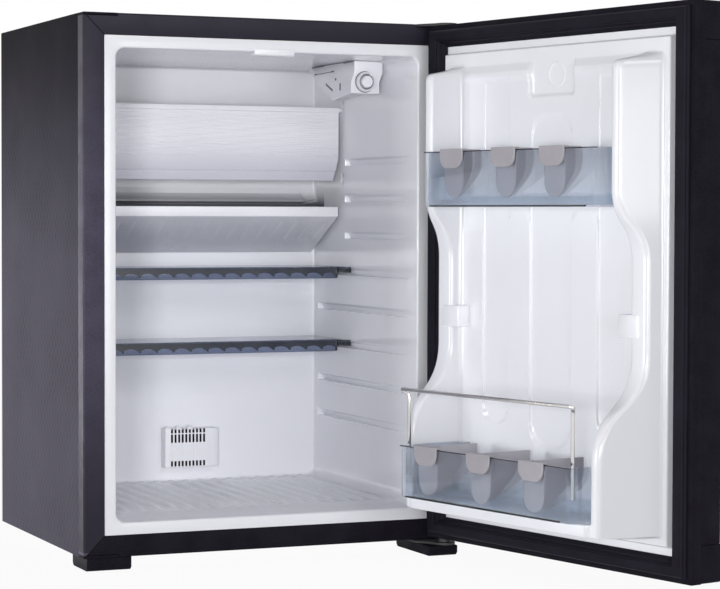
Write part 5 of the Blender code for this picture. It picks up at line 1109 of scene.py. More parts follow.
def flap_shell(settings):
    """The flap as a closed section carried across the cavity. Its front face carries fine ribs,
    0.3 mm (1 - cos) / 2 of the place up the face; its ends slope in near the foot."""
    low, high = span("freezer_flap")
    left, right = 0.0396, high[0] + low[0] - 0.0396
    front, top, bottom = low[1], high[2], low[2]
    face, bend, lip = front + 0.003, top - 0.056, top - 0.006
    wall, lean = 0.004, 0.006
    up = np.linspace(lip - 0.0015, bend + 0.001, 8 * settings.flap_ribs + 1)
    share = (up - up[-1]) / (up[0] - up[-1])
    ribs = 0.0003 * (1.0 - np.cos(2.0 * math.pi * settings.flap_ribs * share)) / 2.0
    crest = eased([(face + wall, top), (front + 0.0002, top), (front + 0.0002, lip),
                   (face, lip), (face, lip - 0.0012)], [0, 0.0012, 0.0012, 0.0007, 0], 5)
    foot = eased([
        (face, bend + 0.0006), (face + 0.0007, bend + 0.0004), (face + 0.0001, bend - 0.0006),
        (face + lean * 0.58, bottom + 0.0112), (face + lean * 0.60 + 0.0009, bottom + 0.0104),
        (face + lean * 0.62, bottom + 0.0096), (face + lean * 0.97, bottom + 0.0012),
        (face + lean, bottom), (face + lean + wall, bottom), (face + wall + 0.0005, bend),
        (face + wall, top)],
        [0, 0.0003, 0.0005, 0.0004, 0.0003, 0.0004, 0.0006, 0.0006, 0.0010, 0.002, 0], 4)
    loop = np.vstack((crest, np.column_stack((face + ribs, up)), foot[:-1]))
    drop = np.clip((bottom + 0.020 - loop[:, 1]) / 0.020, 0.0, 1.0) * 0.0045
    near = [(left + inset + drop, shrink) for inset, shrink in ((0.0006, 0.0005), (0.0, 0.0))]
    far = [(left + right - place, shrink) for place, shrink in near[::-1]]
    shells = [tube_between([np.column_stack((place, drawn_in(loop, shrink)))
                            for place, shrink in near + far])]
    points = node_points("freezer_flap")
    pin = points[points[:, 0] < left - 0.001]
    centre = (pin.min(0) + pin.max(0)) / 2.0 * (0.0, 1.0, 1.0)
    for start, end in ((low[0], left + 0.001), (right - 0.001, high[0])):
        profile = [(0.0016, start), (0.0020, start + 0.0003), (0.0020, end)]
        shells.append(turned_shell(profile, centre, "X", 20))
    return merged(shells)


class MINIBAR_OT_freezer(bpy.types.Operator):
    """Build the freezer flap, the drip tray, the cold plate and the lock catch"""

    bl_idname = "minibar.freezer"
    bl_label = "Freezer pieces"

    def execute(self, context):
        settings = context.scene.minibar_cabinet
        new_piece("ribbed_flap", flap_shell(settings), ["flap_white"], "freezer_flap", 50.0)
        softened("meltwater_tray", "drip_tray", settings.edge * 1.6, reshape=raised_foot)
        new_piece("tray_floor_ribs", tray_ribs(), ["moulded_white"], "drip_tray", 50.0, False)
        softened("cold_plate", "evaporator", 0.0003)
        softened("rim_catch", "lock_catch", settings.edge)
        return {"FINISHED"}


SHELF_PLATE = 0.0025


def shelf_shells(node, teeth):
    """A shelf: a thin plate with arms, a front lip and ribs under the plate. Two lists of shells:
    the clear ones and the darker places where the plastic is thick. The lip shows scallops
    whose lower edge follows (1 - |sin|)^1.4 of the place across."""
    low, high = span(node)
    points = node_points(node)
    top, under = high[2], high[2] - SHELF_PLATE
    lip = points[points[:, 2] < under - 0.001]
    front, left, right = lip[:, 1].min(), lip[:, 0].min(), lip[:, 0].max()
    arm_front, bottom = low[1], low[2]
    outline = eased_loop([
        (low[0], high[1]), (low[0], arm_front), (left - GAP, arm_front), (left - GAP, front),
        (right + GAP, front), (right + GAP, arm_front), (high[0], arm_front),
        (high[0], high[1])], [0.0015] * 8)
    loops = [np.column_stack((drawn_in(outline, shrink), np.full(len(outline), height)))
             for height, shrink in ((under, 0.0005), (under + 0.0005, 0.0), (top - 0.0005, 0.0),
                                    (top, 0.0005))]
    clear = [tube_between(loops),
             softened_slab((left, front, bottom), (right, front + 0.0022, top - SHELF_PLATE * 0.5),
                           0.0008)]
    count = teeth * 10 + 1
    across = np.linspace(left + 0.0004, right - 0.0004, count)
    scallop = np.abs(np.sin(math.pi * teeth * np.linspace(0.0, 1.0, count)))
    edge = top - 0.0068 - 0.0034 * (1.0 - scallop) ** 1.4
    face, crest = np.full(count, front - 0.0002), np.full(count, top - 0.0014)
    dark = [tube_between(np.stack([
        np.column_stack((across, face + step, level))
        for step, level in ((0.0, edge), (0.0, crest), (0.0020, crest), (0.0020, edge))], axis=1))]
    for index in range(teeth):
        middle = left + (right - left) / teeth * index + 0.0012
        dark.append(slab((middle - 0.0009, front - 0.0004, bottom + 0.0026),
                         (middle + 0.0009, front + 0.0016, bottom + 0.0062)))
        clear.append(slab((middle + 0.0015, front + 0.002, under - 0.004),
                          (middle + 0.0029, high[1] - 0.006, under + 0.0004)))
    for near, far in ((low[0], left - GAP), (right + GAP, high[0])):
        dark.append(slab((near, arm_front, under - 0.0040), (far, high[1], under + 0.0003)))
    dark.append(softened_slab((right - 0.0022, front - 0.0003, bottom + 0.001),
                              (right, front + 0.0024, top - 0.001), 0.0006))
    for side in (low[0] + 0.0006, right + 0.0006):
        dark.append(slab((side, arm_front + 0.0008, under - 0.0002),
                         (side + high[0] - right - 0.0012, front + 0.012, under + 0.0008)))
    return clear, dark


class MINIBAR_OT_shelves(bpy.types.Operator):
    """Build the two smoky blue shelves"""

    bl_idname = "minibar.shelves"
    bl_label = "Shelves"

    def execute(self, context):
        teeth = context.scene.minibar_cabinet.shelf_teeth
        for name, node in (("upper_grid_shelf", "shelf_upper"),
                           ("lower_grid_shelf", "shelf_lower")):
            clear, dark = shelf_shells(node, teeth)
            piece = new_piece(name, merged(clear + dark), ["blue_clear", "blue_dark"], node)
            second_finish(piece, faces_from(piece, sum(len(shell[1]) for shell in clear)))
        return {"FINISHED"}


def tapered_keel(points):
    """The lamp cover's underside rises towards the wall: its lower points go up with their
    distance from the left face."""
    low, high = span("lamp_housing")
    housing = node_points("lamp_housing")
    foot = housing[np.argsort(housing[:, 1])][:8, 2].min()
    share = np.clip((points[:, 0] - low[0]) / (high[0] - low[0]), 0.0, 1.0)
    moved = points.copy()
    under = points[:, 2] < foot - 0.0004
    moved[under, 2] += (share * (foot + 0.0016 - points[:, 2]))[under]
    return moved


def lifted(points):
    """The bulb a little higher, clear of the raised underside."""
    return points + (0.0, 0.0, 0.006)


def housing_slot_shade():
    """Painted shade for the openings in the lamp cover's left face: thin dark inlays, strips given
    by their two ends and their width, a fifth of a millimetre proud."""
    face = span("lamp_housing")[0][0] - 0.0002
    shells = []
    for start, end, width in (
        ((0.160, 0.5108), (0.1935, 0.5106), 0.0016), ((0.079, 0.5112), (0.103, 0.5110), 0.0016),
        ((0.103, 0.5113), (0.160, 0.5110), 0.0005), ((0.136, 0.5030), (0.184, 0.5022), 0.0006),
        ((0.1318, 0.5032), (0.1375, 0.5031), 0.0016), ((0.1800, 0.5024), (0.1850, 0.5022), 0.0014),
        ((0.1330, 0.4822), (0.1520, 0.4900), 0.0022), ((0.1118, 0.4815), (0.1118, 0.4892), 0.0036),
        ((0.1255, 0.4930), (0.1255, 0.4955), 0.0014),
    ):
        start, end = np.array(start), np.array(end)
        along = (end - start) / np.linalg.norm(end - start)
        side = np.array((-along[1], along[0])) * width / 2.0
        corners = [start - side, end - side, end + side, start + side]
        shells.append(tube_between([[(depth, *corner) for corner in corners]
                                    for depth in (face, face + 0.001)]))
    return merged(shells)


def knob_measures():
    """The knob's axis, its radius and its lowest and highest corner."""
    low, high = span("thermostat_knob")
    centre = np.array(((low[0] + high[0]) / 2.0, 0.0, (low[2] + high[2]) / 2.0))
    return centre, (high[0] - low[0]) / 2.0, low, high


def knob_shell():
    """The knob as one turned profile: skirt, face with a groove, raised button and spindle; a
    small raised mark sits on its face."""
    centre, radius, low, high = knob_measures()
    points = node_points("thermostat_knob")
    away = np.hypot(points[:, 0] - centre[0], points[:, 2] - centre[2])
    back = points[away > radius * 0.9][:, 1].max()
    front, spindle = low[1], 0.0025
    profile = [
        (0.0004, front + 0.0004), (radius * 0.58, front + 0.0004), (radius * 0.61, front + 0.0044),
        (radius * 0.80, front + 0.0044), (radius * 0.82, front + 0.0012),
        (radius * 0.90, front + 0.0010), (radius * 0.93, front + 0.0026),
        (radius, front + 0.0030), (radius, back), (spindle, back), (spindle, high[1])]
    corners = eased(profile, [0] + [0.0004] * (len(profile) - 2) + [0], 4)
    pointer = softened_slab(
        (centre[0] + radius * 0.30, front, centre[2] + radius * 0.62),
        (centre[0] + radius * 0.52, front + 0.004, centre[2] + radius * 0.84), 0.0003)
    return merged([turned_shell(corners, centre, "Y", 64), pointer])


def knob_shadows():
    """Flat dark rings of painted shade: one in the groove round the knob's button, one where the
    knob's skirt meets the lamp cover."""
    centre, radius, low, _ = knob_measures()
    shells = []
    for inner, outer, place in ((radius * 0.62, radius * 0.79, low[1] + 0.0042),
                                (radius, radius * 1.09, span("lamp_housing")[0][1] - 0.0002)):
        profile = [(inner, place), (outer, place), (outer, place + 0.0003), (inner, place + 0.0003)]
        shells.append(turned_ring(profile, centre))
    return merged(shells)


class MINIBAR_OT_lamp(bpy.types.Operator):
    """Build the lamp housing with its lens and bulb, and the thermostat knob"""

    bl_idname = "minibar.lamp"
    bl_label = "Lamp and thermostat"

    def execute(self, context):
        edge = context.scene.minibar_cabinet.edge
        softened("lamp_cover", "lamp_housing", edge, reshape=tapered_keel)
        # Dark inlays paint the shade of the cover's openings.
        new_piece("lamp_cover_slots", housing_slot_shade(), ["slot_grey"], "lamp_housing",
                  stands_for=False)
        softened("lamp_window", "lamp_lens", 0.0003, reshape=tapered_keel)
        softened("small_bulb", "lamp_bulb", 0.0, reshape=lifted)
        new_piece("ring_knob", knob_shell(), ["moulded_white"], "thermostat_knob", 30.0)
        # Dark rings paint the shade in the knob's groove and at its foot.
        new_piece("knob_grooves", knob_shadows(), ["slot_grey"], "thermostat_knob", 30.0, False)
        return {"FINISHED"}


def vent_shell():
    """The slotted cover: a front face as a grid whose depth is the sum of rounded pits for the
    slots, thin upright grooves and ring grooves of two plugs, closed by sides and a back, with
    three small hoods on its top edge. Its first faces are those in the slots; they are counted."""
    low, high = span("vent_cover")
    top = high[2] - 0.0018
    slots, slot = low[0] + 0.0062 + 0.0043 * np.arange(10), 0.0022
    grooves = low[0] + np.array((0.0073, 0.0201, 0.0334))
    plugs = ((low[0] + 0.0152, low[2] + 0.0232), (low[0] + 0.0476, low[2] + 0.0226))
    bands = ((low[2] + 0.0020, low[2] + 0.0078), (low[2] + 0.0290, low[2] + 0.0382),
             (low[2] + 0.0398, top - 0.0004))
    around = np.linspace(-0.0044, 0.0044, 23)
    xs = joined_samples(
        *[slots + step for step in (-0.0001, 0.0001, slot - 0.0001, slot + 0.0001)],
        *[grooves + step for step in (-0.0004, -0.0002, 0.0002, 0.0004)],
        *[plug[0] + around for plug in plugs], np.linspace(low[0], high[0], 22))
    zs = joined_samples(
        [edge + step for band in bands for edge in band for step in (-0.0001, 0.0001)],
        *[plug[1] + around for plug in plugs], np.linspace(low[2], top, 18))
    zs = zs[zs <= top + 1e-7]
    x, z = np.meshgrid(xs, zs)
    pits = np.zeros(x.shape, bool)
    for place in slots:
        for band in bands:
            pits |= (x > place) & (x < place + slot) & (z > band[0]) & (z < band[1])
    depth = 0.0100 * pits
    for place in grooves:
        depth = np.maximum(depth, 0.0007 * (np.abs(x - place) < 0.0003))
    for place, level in plugs:
        away = np.abs(np.hypot(x - place, z - level) - 0.0034)
        depth = depth + 0.0003 * (1.0 - rise(away, 0.0002, 0.0006))
    ease = 0.0012
    rim = np.minimum(np.minimum(x - low[0], high[0] - x), np.minimum(z - low[2], top - z))
    outer = 1.0 - np.clip(rim / ease, 0.0, 1.0)
    depth = depth + ease * (1.0 - np.sqrt(np.clip(1.0 - outer ** 2, 0.0, 1.0)))
    grid = np.stack((x, low[1] + 0.0002 + depth, z), -1)
    quads = grid_faces(len(zs), len(xs))
    dark = pits.ravel()[quads].any(1)
    border = np.concatenate((grid[0], grid[1:, -1], grid[-1, -2::-1], grid[-2:0:-1, 0]))
    back = border.copy()
    back[:, 1] = high[1]
    points, faces = tube_between([border, back], ends=False)
    faces.append(list(range(len(border), 2 * len(border))))
    shells = [(grid, quads[dark].tolist() + quads[~dark].tolist()), (points, faces)]
    for place in grooves:
        hood = [(place - 0.0078, top - 0.0012), (place - 0.0070, top + 0.0014),
                (place - 0.0050, top + 0.0032), (place - 0.0030, top + 0.0026),
                (place + 0.0002, top - 0.0004), (place + 0.0002, top - 0.0016)]
        shells.append(plate(hood, "Y", low[1] + 0.0008, low[1] + 0.0090, 0.0008))
    return merged(shells), int(dark.sum())


class MINIBAR_OT_vent(bpy.types.Operator):
    """Build the slotted cover low on the back wall"""

    bl_idname = "minibar.vent"
    bl_label = "Vent cover"

    def execute(self, context):
        shell, dark = vent_shell()
        piece = new_piece("slotted_cover", shell, ["shadow_grey", "moulded_white"], "vent_cover",
                          35.0)
        second_finish(piece, faces_from(piece, dark))
        return {"FINISHED"}


FOAM_SHARE = 0.74
FOAM_START = 0.0012         # Where the insulation's side walls begin, behind the steel


def thinned_sides(points):
    """The insulation's side walls at 74 % of their thickness, clear of the shelf grooves."""
    moved = points.copy()
    end = span("cabinet_wrapper")[1][0] - FOAM_START
    on_left = (points[:, 0] > FOAM_START) & (points[:, 0] < 0.036)
    on_right = (points[:, 0] < end) & (points[:, 0] > end + FOAM_START - 0.036)
    moved[on_left, 0] = FOAM_START + (points[on_left, 0] - FOAM_START) * FOAM_SHARE
    moved[on_right, 0] = end - (end - points[on_right, 0]) * FOAM_SHARE
    return moved


class MINIBAR_OT_cooling_unit(bpy.types.Operator):
    """Build the cooling unit, its straps and the control box at the back, and the foam"""

    bl_idname = "minibar.cooling_unit"
    bl_label = "Cooling unit"

    def execute(self, context):
        for row in (
            ("unit_rail_left", "unit_strap_left", 0.0003),
            ("unit_rail_right", "unit_strap_right", 0.0003),
            ("boiler_jacket", "boiler", 0.0), ("lying_tank", "absorber_tank", 0.0),
            ("coil_of_pipe", "absorber_coil", 0.0), ("finned_condenser", "condenser", 0.0),
            ("riser", "riser_pipe", 0.0), ("cold_pipe", "evaporator_pipe", 0.0),
            ("terminal_box", "control_box", 0.001), ("lead_inlet", "power_inlet", 0.0004),
            ("door_insulation", "door_foam", 0.0),
            ("cabinet_insulation", "cabinet_foam", 0.0, None, thinned_sides),
        ):
            softened(*row)
        return {"FINISHED"}


# Door

FLANGE = -0.012             # Depth of the door liner's flange, in front of the cabinet
LEDGE = 0.012               # Base of the liner's back above the flange
WALL_DRIFT = 0.011          # How far the side walls' tops move inwards where they are high
DOOR_SHEET = 0.0012


def door_stations():
    """Stations up the door liner: height, platform, drift of the wall's top, wall height and
    base height above the flange. Their corners are eased in all five at once."""
    stations = np.array([
        (0.0221, 0.0, 1.0, 0.0, 0.0),
        (0.0354, 0.0, 1.0, 0.0, 0.0),
        (0.0375, 0.007, 1.0, 0.007, 0.007),
        (0.0446, 0.007, 1.0, 0.007, 0.007),
        (0.0470, 0.007, 1.0, 0.073, 0.077),
        (0.0590, 0.007, 1.0, 0.073, 0.077),
        (0.0602, 0.007, 1.0, 0.073, LEDGE),
        (0.1430, 0.007, 1.0, 0.073, LEDGE),
        (0.1880, 0.007, 0.0, 0.024, LEDGE),
        (0.3210, 0.007, 0.0, 0.024, LEDGE),
        (0.3530, 0.007, 1.0, 0.050, LEDGE),
        (0.4890, 0.007, 1.0, 0.050, LEDGE),
        (0.4980, 0.007, 1.0, 0.007, 0.007),
        (0.5115, 0.007, 1.0, 0.007, 0.007),
        (0.5136, 0.0, 1.0, 0.0, 0.0),
        (0.5269, 0.0, 1.0, 0.0, 0.0),
    ])
    stations[:, 2] *= WALL_DRIFT
    dense = eased(stations, [0, 0.001, 0.001, 0.0015, 0.0028, 0.0028, 0.0012, 0.026, 0.026,
                             0.018, 0.018, 0.007, 0.003, 0.001, 0.001, 0], 9)
    rows = [dense[0]]
    for before, after in zip(dense, dense[1:]):
        middle = (before[0] + after[0]) / 2.0
        bent = any(low < middle < high
                   for low, high in ((0.112, 0.150), (0.335, 0.356), (0.412, 0.500)))
        pieces = max(1, int(round((after[0] - before[0]) / (0.0018 if bent else 0.0035))))
        rows += [before + (after - before) * step / pieces for step in range(1, pieces + 1)]
    rows = np.array(rows)
    return rows[np.concatenate(([True], np.linalg.norm(np.diff(rows, axis=0), axis=1) > 1e-5))]


FLUTE_EDGES = (0.0870, 0.1245, 0.1630, 0.2255, 0.2600, 0.3000)


def flute_relief(across, up, depth):
    """Relief of the liner's back between its side walls: flutes with rounded ends, ridges between
    them that end in round caps, and the pocket at the top."""
    far_left, left, inner_left, inner_right, right, far_right = FLUTE_EDGES

    def panel(start, end, low, high, corner):
        """Mask of one field between two edges and two heights."""
        return patch(across, up, (start, low), (end, high), corner, 0.0007)

    ridge = np.maximum(panel(left, inner_left, 0.05, 0.352, 0.014),
                       panel(inner_right, right, 0.05, 0.352, 0.014))
    centre = panel(inner_left, inner_right, 0.117, 0.446, 0.024)
    sides = np.maximum(panel(right, far_right, 0.135, 0.60, 0.018),
                       panel(far_left, left, 0.135, 0.60, 0.018))
    upper = rise(up, 0.330, 0.336) * (1.0 - ridge)
    return -depth * np.maximum(np.maximum(centre, sides), 0.60 * upper)


def door_sheet(settings):
    """The door liner as a grid: rows follow the stations upwards, and each row is an eased section
    from the flange over the platform and the side wall to the fluted back, mirrored."""
    low, high = span("door_liner")
    width = high[0] + low[0]
    height, platform, drift, wall, base = door_stations().T
    zero = np.zeros(len(height))
    wall_round = settings.wall_round
    half = eased(np.stack([np.column_stack((zero + place, zero + level)) for place, level in (
        (0.0203, zero), (0.0287, zero), (0.0310, platform), (0.0380, platform),
        (0.0415 + drift, wall), (0.0640, wall), (0.0665, base), (0.0800, base))], axis=1),
        [0, 0.001, 0.0014, 0.003, wall_round, wall_round * 0.8, 0.005, 0], 6)
    near_edge = np.array((-0.0009, -0.0007, -0.00035, 0.0, 0.00035, 0.0007, 0.0009))
    places = joined_samples(np.linspace(0.0805, width - 0.0805, 64),
                            *[edge + near_edge for edge in FLUTE_EDGES])
    middle = np.stack(np.broadcast_arrays(places[None, :], base[:, None]), -1)
    other = half[:, ::-1].copy()
    other[..., 0] = width - other[..., 0]
    section = np.concatenate((half, middle, other), axis=1)
    across, up = section[..., 0], np.repeat(height[:, None], section.shape[1], axis=1)
    inside = between(across, 0.068, 0.0735, width - 0.0735, width - 0.068)
    level = between(up, 0.066, 0.074, 0.4790, 0.4860)
    relief = flute_relief(across, up, settings.flute_depth) * inside * level
    pocket = patch(across, up, (0.1630, 0.4640), (0.2270, 0.5050), 0.0020, 0.0013)
    sunk = relief * (1.0 - pocket) - (base - platform)[:, None] * pocket
    relief = np.where(up < 0.5, sunk, relief)
    return np.stack((across, FLANGE + section[..., 1] + relief, up), -1)


def lug_shells():
    """The three pairs of rack lugs, from the side walls' inner faces."""
    low, high = span("door_liner")
    width = high[0] + low[0]
    base = FLANGE + LEDGE
    shells = []
    for bottom, start, reach in ((0.0685, 0.0655, base + 0.020), (0.231, 0.0525, FLANGE + 0.026),
                                 (0.362, 0.0655, base + 0.020)):
        end = 0.0665 + 0.0125
        for near, far in ((start, end), (width - end, width - start)):
            shells.append(softened_slab((near, base - 0.001, bottom), (far, reach, bottom + 0.022),
                                        0.0012))
    return shells


def pocket_ring():
    """The round seat of a plug in the pocket at the top of the liner: a flat ring turned about
    the door's depth."""
    base = FLANGE + 0.007
    return turned_ring([(0.0112, base - 0.0005), (0.0114, base + 0.0004), (0.0119, base + 0.0007),
                        (0.0124, base + 0.0004), (0.0126, base - 0.0005)], (0.191, 0.0, 0.484))


class MINIBAR_OT_door_liner(bpy.types.Operator):
    """Build the door's white liner with its side walls, flutes, ledge and lugs"""

    bl_idname = "minibar.door_liner"
    bl_label = "Door liner"

    def execute(self, context):
        sheet = door_sheet(context.scene.minibar_door)
        shell = sheet, grid_faces(*sheet.shape[:2]).tolist()
        piece = new_piece("fluted_liner", shell, ["door_white_painted_shade"], "door_liner", 60.0)
        face_towards(piece, in_row((0.2, 0.1, 0.25), "door_liner"))
        # How far each point looks to the front; the finish paints shade with it.
        mark_painted_shade_facing(piece, (-0.35, -0.937, 0.0), 0.60, 0.95)
        thicken(piece, DOOR_SHEET)
        new_piece("liner_lugs", merged(lug_shells() + [pocket_ring()]), ["door_white_painted_shade"],
                  "door_liner", stands_for=False)
        return {"FINISHED"}


def gasket_shell():
    """The seal: foot, bellows and a flat magnet face, as an eased section of (inset, depth)
    carried round the door's edge as mitred rings."""
    shallow = -0.008 + GAP
    deep = FLANGE + GAP
    section = [
        (0.0060, shallow), (0.0062, shallow + 0.0020), (0.0080, shallow + 0.0034),
        (0.0068, shallow + 0.0046), (0.0082, -0.0012), (0.0105, -GAP), (0.0178, -GAP),
        (0.0196, -0.0014), (0.0192, -0.0030), (0.0222, shallow * 0.62), (0.0230, shallow + 0.0002),
        (0.0252, deep + 0.0026), (0.0274, deep + 0.0014), (0.0274, deep), (0.0206, deep),
        (0.0206, shallow)]
    low, high = span("door_inner_frame")
    rings = []
    for inset, depth in eased_loop(section, [0.0007] * len(section)):
        left, right = low[0] + inset, high[0] - inset
        bottom, top = low[2] + inset * 0.85, high[2] - inset * 0.85
        rings.append([(left, depth, bottom), (right, depth, bottom), (right, depth, top),
                      (left, depth, top)])
    return np.array(rings), grid_faces(len(rings), 4, wrap_rows=True, wrap_cols=True).tolist()


class MINIBAR_OT_door_shell(bpy.types.Operator):
    """Build the door's panel, trims, corner caps, inner frame and seal"""

    bl_idname = "minibar.door_shell"
    bl_label = "Door shell"

    def execute(self, context):
        edge = context.scene.minibar_cabinet.edge
        for row in (
            ("door_front_sheet", "door_panel", 0.0003),
            ("edge_profile_top", "door_trim_top", edge),
            ("edge_profile_bottom", "door_trim_bottom", edge),
            ("edge_profile_free", "door_trim_free_side", edge),
            ("edge_profile_hinge", "door_trim_hinge_side", edge),
            ("corner_free_top", "door_cap_free_top", edge),
            ("corner_free_bottom", "door_cap_free_bottom", edge),
            ("corner_hinge_top", "door_cap_hinge_top", edge * 0.6),
            ("corner_hinge_bottom", "door_cap_hinge_bottom", edge * 0.6),
            ("seal_carrier", "door_inner_frame", edge),
        ):
            softened(*row)
        new_piece("door_seal", gasket_shell(), ["soft_black"], "gasket", 35.0)
        return {"FINISHED"}


class MINIBAR_OT_racks(bpy.types.Operator):
    """Build the two clear door racks"""

    bl_idname = "minibar.racks"
    bl_label = "Door racks"

    def execute(self, context):
        for name, node in (("upper_bottle_rack", "rack_upper"),
                           ("lower_bottle_rack", "rack_lower")):
            softened(name, node, 0.0004)
            low, high = span(node)
            # Dark strips along the rack's front edges: painted shade where the clear plastic's
            # edges look dark.
            edges = [slab((low[0] + 0.017, high[1] - 0.0024, low[2]),
                          (high[0] - 0.010, high[1] + 0.0001, low[2] + 0.0016)),
                     slab((low[0] + 0.001, high[1] - 0.0023, high[2] - 0.0009),
                          (high[0] - 0.001, high[1] + 0.0001, high[2] + 0.0001))]
            new_piece(f"{name}_edges", merged(edges), ["smoky_dark"], node, stands_for=False)
        return {"FINISHED"}


WIRE_RADIUS = 0.0019


def guard_path():
    """The guard's wire: two legs that step forward and outward at their tops into one bar, with
    rounded corners."""
    low, high = span("bottle_bail")
    bar_y, bar_z = high[1] - WIRE_RADIUS, high[2] - WIRE_RADIUS
    left, right = low[0] + WIRE_RADIUS, high[0] - WIRE_RADIUS
    leg_left, leg_right, leg_y = left + 0.0075, right - 0.0075, bar_y - 0.006
    corners = [
        (leg_left, leg_y, low[2]), (leg_left, leg_y, bar_z - 0.005), (left, bar_y, bar_z),
        (right, bar_y, bar_z), (leg_right, leg_y, bar_z - 0.005), (leg_right, leg_y, low[2])]
    return eased(corners, [0, 0.006, 0.006, 0.006, 0.006, 0], 9)


class MINIBAR_OT_guard(bpy.types.Operator):
    """Build the chromed wire guard of the lower rack"""

    bl_idname = "minibar.guard"
    bl_label = "Wire guard"

    def execute(self, context):
        new_piece("wire_guard", wire_shell(guard_path(), WIRE_RADIUS, 20), ["chrome"],
                  "bottle_bail", 60.0)
        return {"FINISHED"}


def divider_shell(node):
    """A bottle divider: a rounded tab outside the rack's front wall, a bridge over the wall, a
    tongue with a half-round foot inside and an upright web whose lower edge runs straight up
    to its back edge, with rounded corners."""
    low, high = span(node)
    wall, rack = 0.0020, 0.0022 + 2.0 * GAP
    centre, half = (low[0] + high[0]) / 2.0, (high[0] - low[0]) / 2.0
    left, right, crest = centre - half, centre + half, high[2]
    outside = high[1] - wall
    inside = outside - rack
    foot, corner, narrow = crest - 0.0193, 0.0115, 0.0150
    arc = np.linspace(0.0, math.pi / 2.0, 8)
    into, out = corner * (1 - np.cos(arc)), corner * (1 - np.sin(arc))
    tab = np.concatenate(([(left, crest)], np.column_stack((left + into, foot + out)),
                          np.column_stack((right - out, foot + into)), [(right, crest)]))
    angle = np.linspace(0.0, math.pi, 19)
    round_foot = np.column_stack((centre - narrow * np.cos(angle),
                                  low[2] + narrow * (1 - np.sin(angle))))
    tongue = np.concatenate((
        [(left, crest - 0.001), (centre - narrow - 0.0006, crest - 0.010)], round_foot,
        [(centre + narrow + 0.0006, crest - 0.010), (right, crest - 0.001)]))
    tall = crest - low[2]
    back = low[1] + (inside - low[1]) * 0.06
    web = eased([(inside - 0.001, crest), (back, crest), (back, crest - tall * 0.46),
                 (back + (inside - back) * 0.72, crest - tall * 0.96),
                 (inside - 0.001, low[2] + narrow * 0.3)], [0, 0.001, 0.010, 0.004, 0], 6)
    bridge_end = outside + wall * 0.6
    bridge = [(inside - wall, crest - wall), (bridge_end, crest - wall), (bridge_end, crest),
              (inside - wall, crest)]
    return merged([plate(tab, "Y", outside, high[1], 0.0005),
                   plate(bridge, "X", left, right),
                   plate(tongue, "Y", inside - wall, inside),
                   plate(web, "X", centre - wall / 2.0, centre + wall / 2.0)])


class MINIBAR_OT_dividers(bpy.types.Operator):
    """Build the six bottle dividers"""

    bl_idname = "minibar.dividers"
    bl_label = "Bottle dividers"

    def execute(self, context):
        for place in ("upper_1", "upper_2", "upper_3", "lower_1", "lower_2", "lower_3"):
            node = f"divider_{place}"
            new_piece(f"bottle_stop_{place}", divider_shell(node), ["divider_grey"], node)
        return {"FINISHED"}


# Stage

SOLID_WHITE = (1.0, 1.0, 1.0, 1.0)
FLOOR_REACH = 40.0
FLOOR_GLOW = 0.94           # Share of plain white where the floor is seen
CAMERA_PLACE = (-0.92557, -2.24123, 0.3612)
CAMERA_TURN = [math.radians(angle) for angle in (23.545, -1.991, 0.162)]
NARROW_LAMP = "low_lamp"
# Name, setting of the power, place, target, width and height
LAMPS = (
    ("side_lamp", "key", (-2.5, 0.0, 0.28), (0.0, 0.0, 0.2), (1.0, 0.5)),
    ("front_lamp", "fill", (-0.1, -3.0, 0.35), (-0.05, 0.2, 0.36), (1.8, 0.64)),
    ("slanting_lamp", "slant", (-1.4, -2.6, 0.4), (0.0, 0.1, 0.3), (0.36, 0.36)),
    ("top_lamp", "top", (0.3, -2.8, 1.6), (0.0, 0.2, 0.1), (1.0, 0.8)),
    ("low_lamp", "low", (-1.0, 0.95, 0.08), (-0.25, 0.17, 0.06), (0.5, 0.14)),
)


def camera_matrix(place, yaw, pitch, roll):
    """A camera that looks along +Y turned to +X by the yaw and up by the pitch."""
    ahead = Vector((math.sin(yaw) * math.cos(pitch), math.cos(yaw) * math.cos(pitch),
                    math.sin(pitch)))
    right = Vector((math.cos(yaw), -math.sin(yaw), 0.0))
    above = right.cross(ahead)
    across = right * math.cos(roll) + above * math.sin(roll)
    upward = -right * math.sin(roll) + above * math.cos(roll)
    matrix = Matrix((across, upward, -ahead)).transposed().to_4x4()
    matrix.translation = Vector(place)
    return matrix


def soft_lamp(name, power, place, target, size):
    """A flat lamp of a width and a height that faces a target."""
    data = bpy.data.lights.new(name, "AREA")
    data.shape = "RECTANGLE"
    data.size, data.size_y = size
    data.energy = power
    lamp = bpy.data.objects.new(name, data)
    bpy.context.scene.collection.objects.link(lamp)
    lamp.location = place
    lamp.rotation_euler = (Vector(target) - Vector(place)).to_track_quat("-Z", "Y").to_euler()
    return lamp


def seen_ray(tree):
    """1 where a ray comes from the camera, a reflection or a clear piece."""
    path = feed(tree, "LightPath").outputs
    first = maths(tree, "MAXIMUM", path["Is Camera Ray"], path["Is Glossy Ray"])
    return maths(tree, "MAXIMUM", first, path["Is Transmission Ray"])


def pale_room(strength):
    """A world that lights the scene weakly but is white wherever it is seen."""
    world = bpy.data.worlds.new("Pale room")
    world.use_nodes = True
    tree = world.node_tree
    tree.nodes.clear()
    plain = feed(tree, "Background", Color=SOLID_WHITE, Strength=strength)
    white = feed(tree, "Background", Color=SOLID_WHITE, Strength=1.0)
    mix = feed(tree, "MixShader", i0=seen_ray(tree), i1=plain.outputs[0], i2=white.outputs[0])
    feed(tree, "OutputWorld", Surface=mix.outputs[0])
    return world


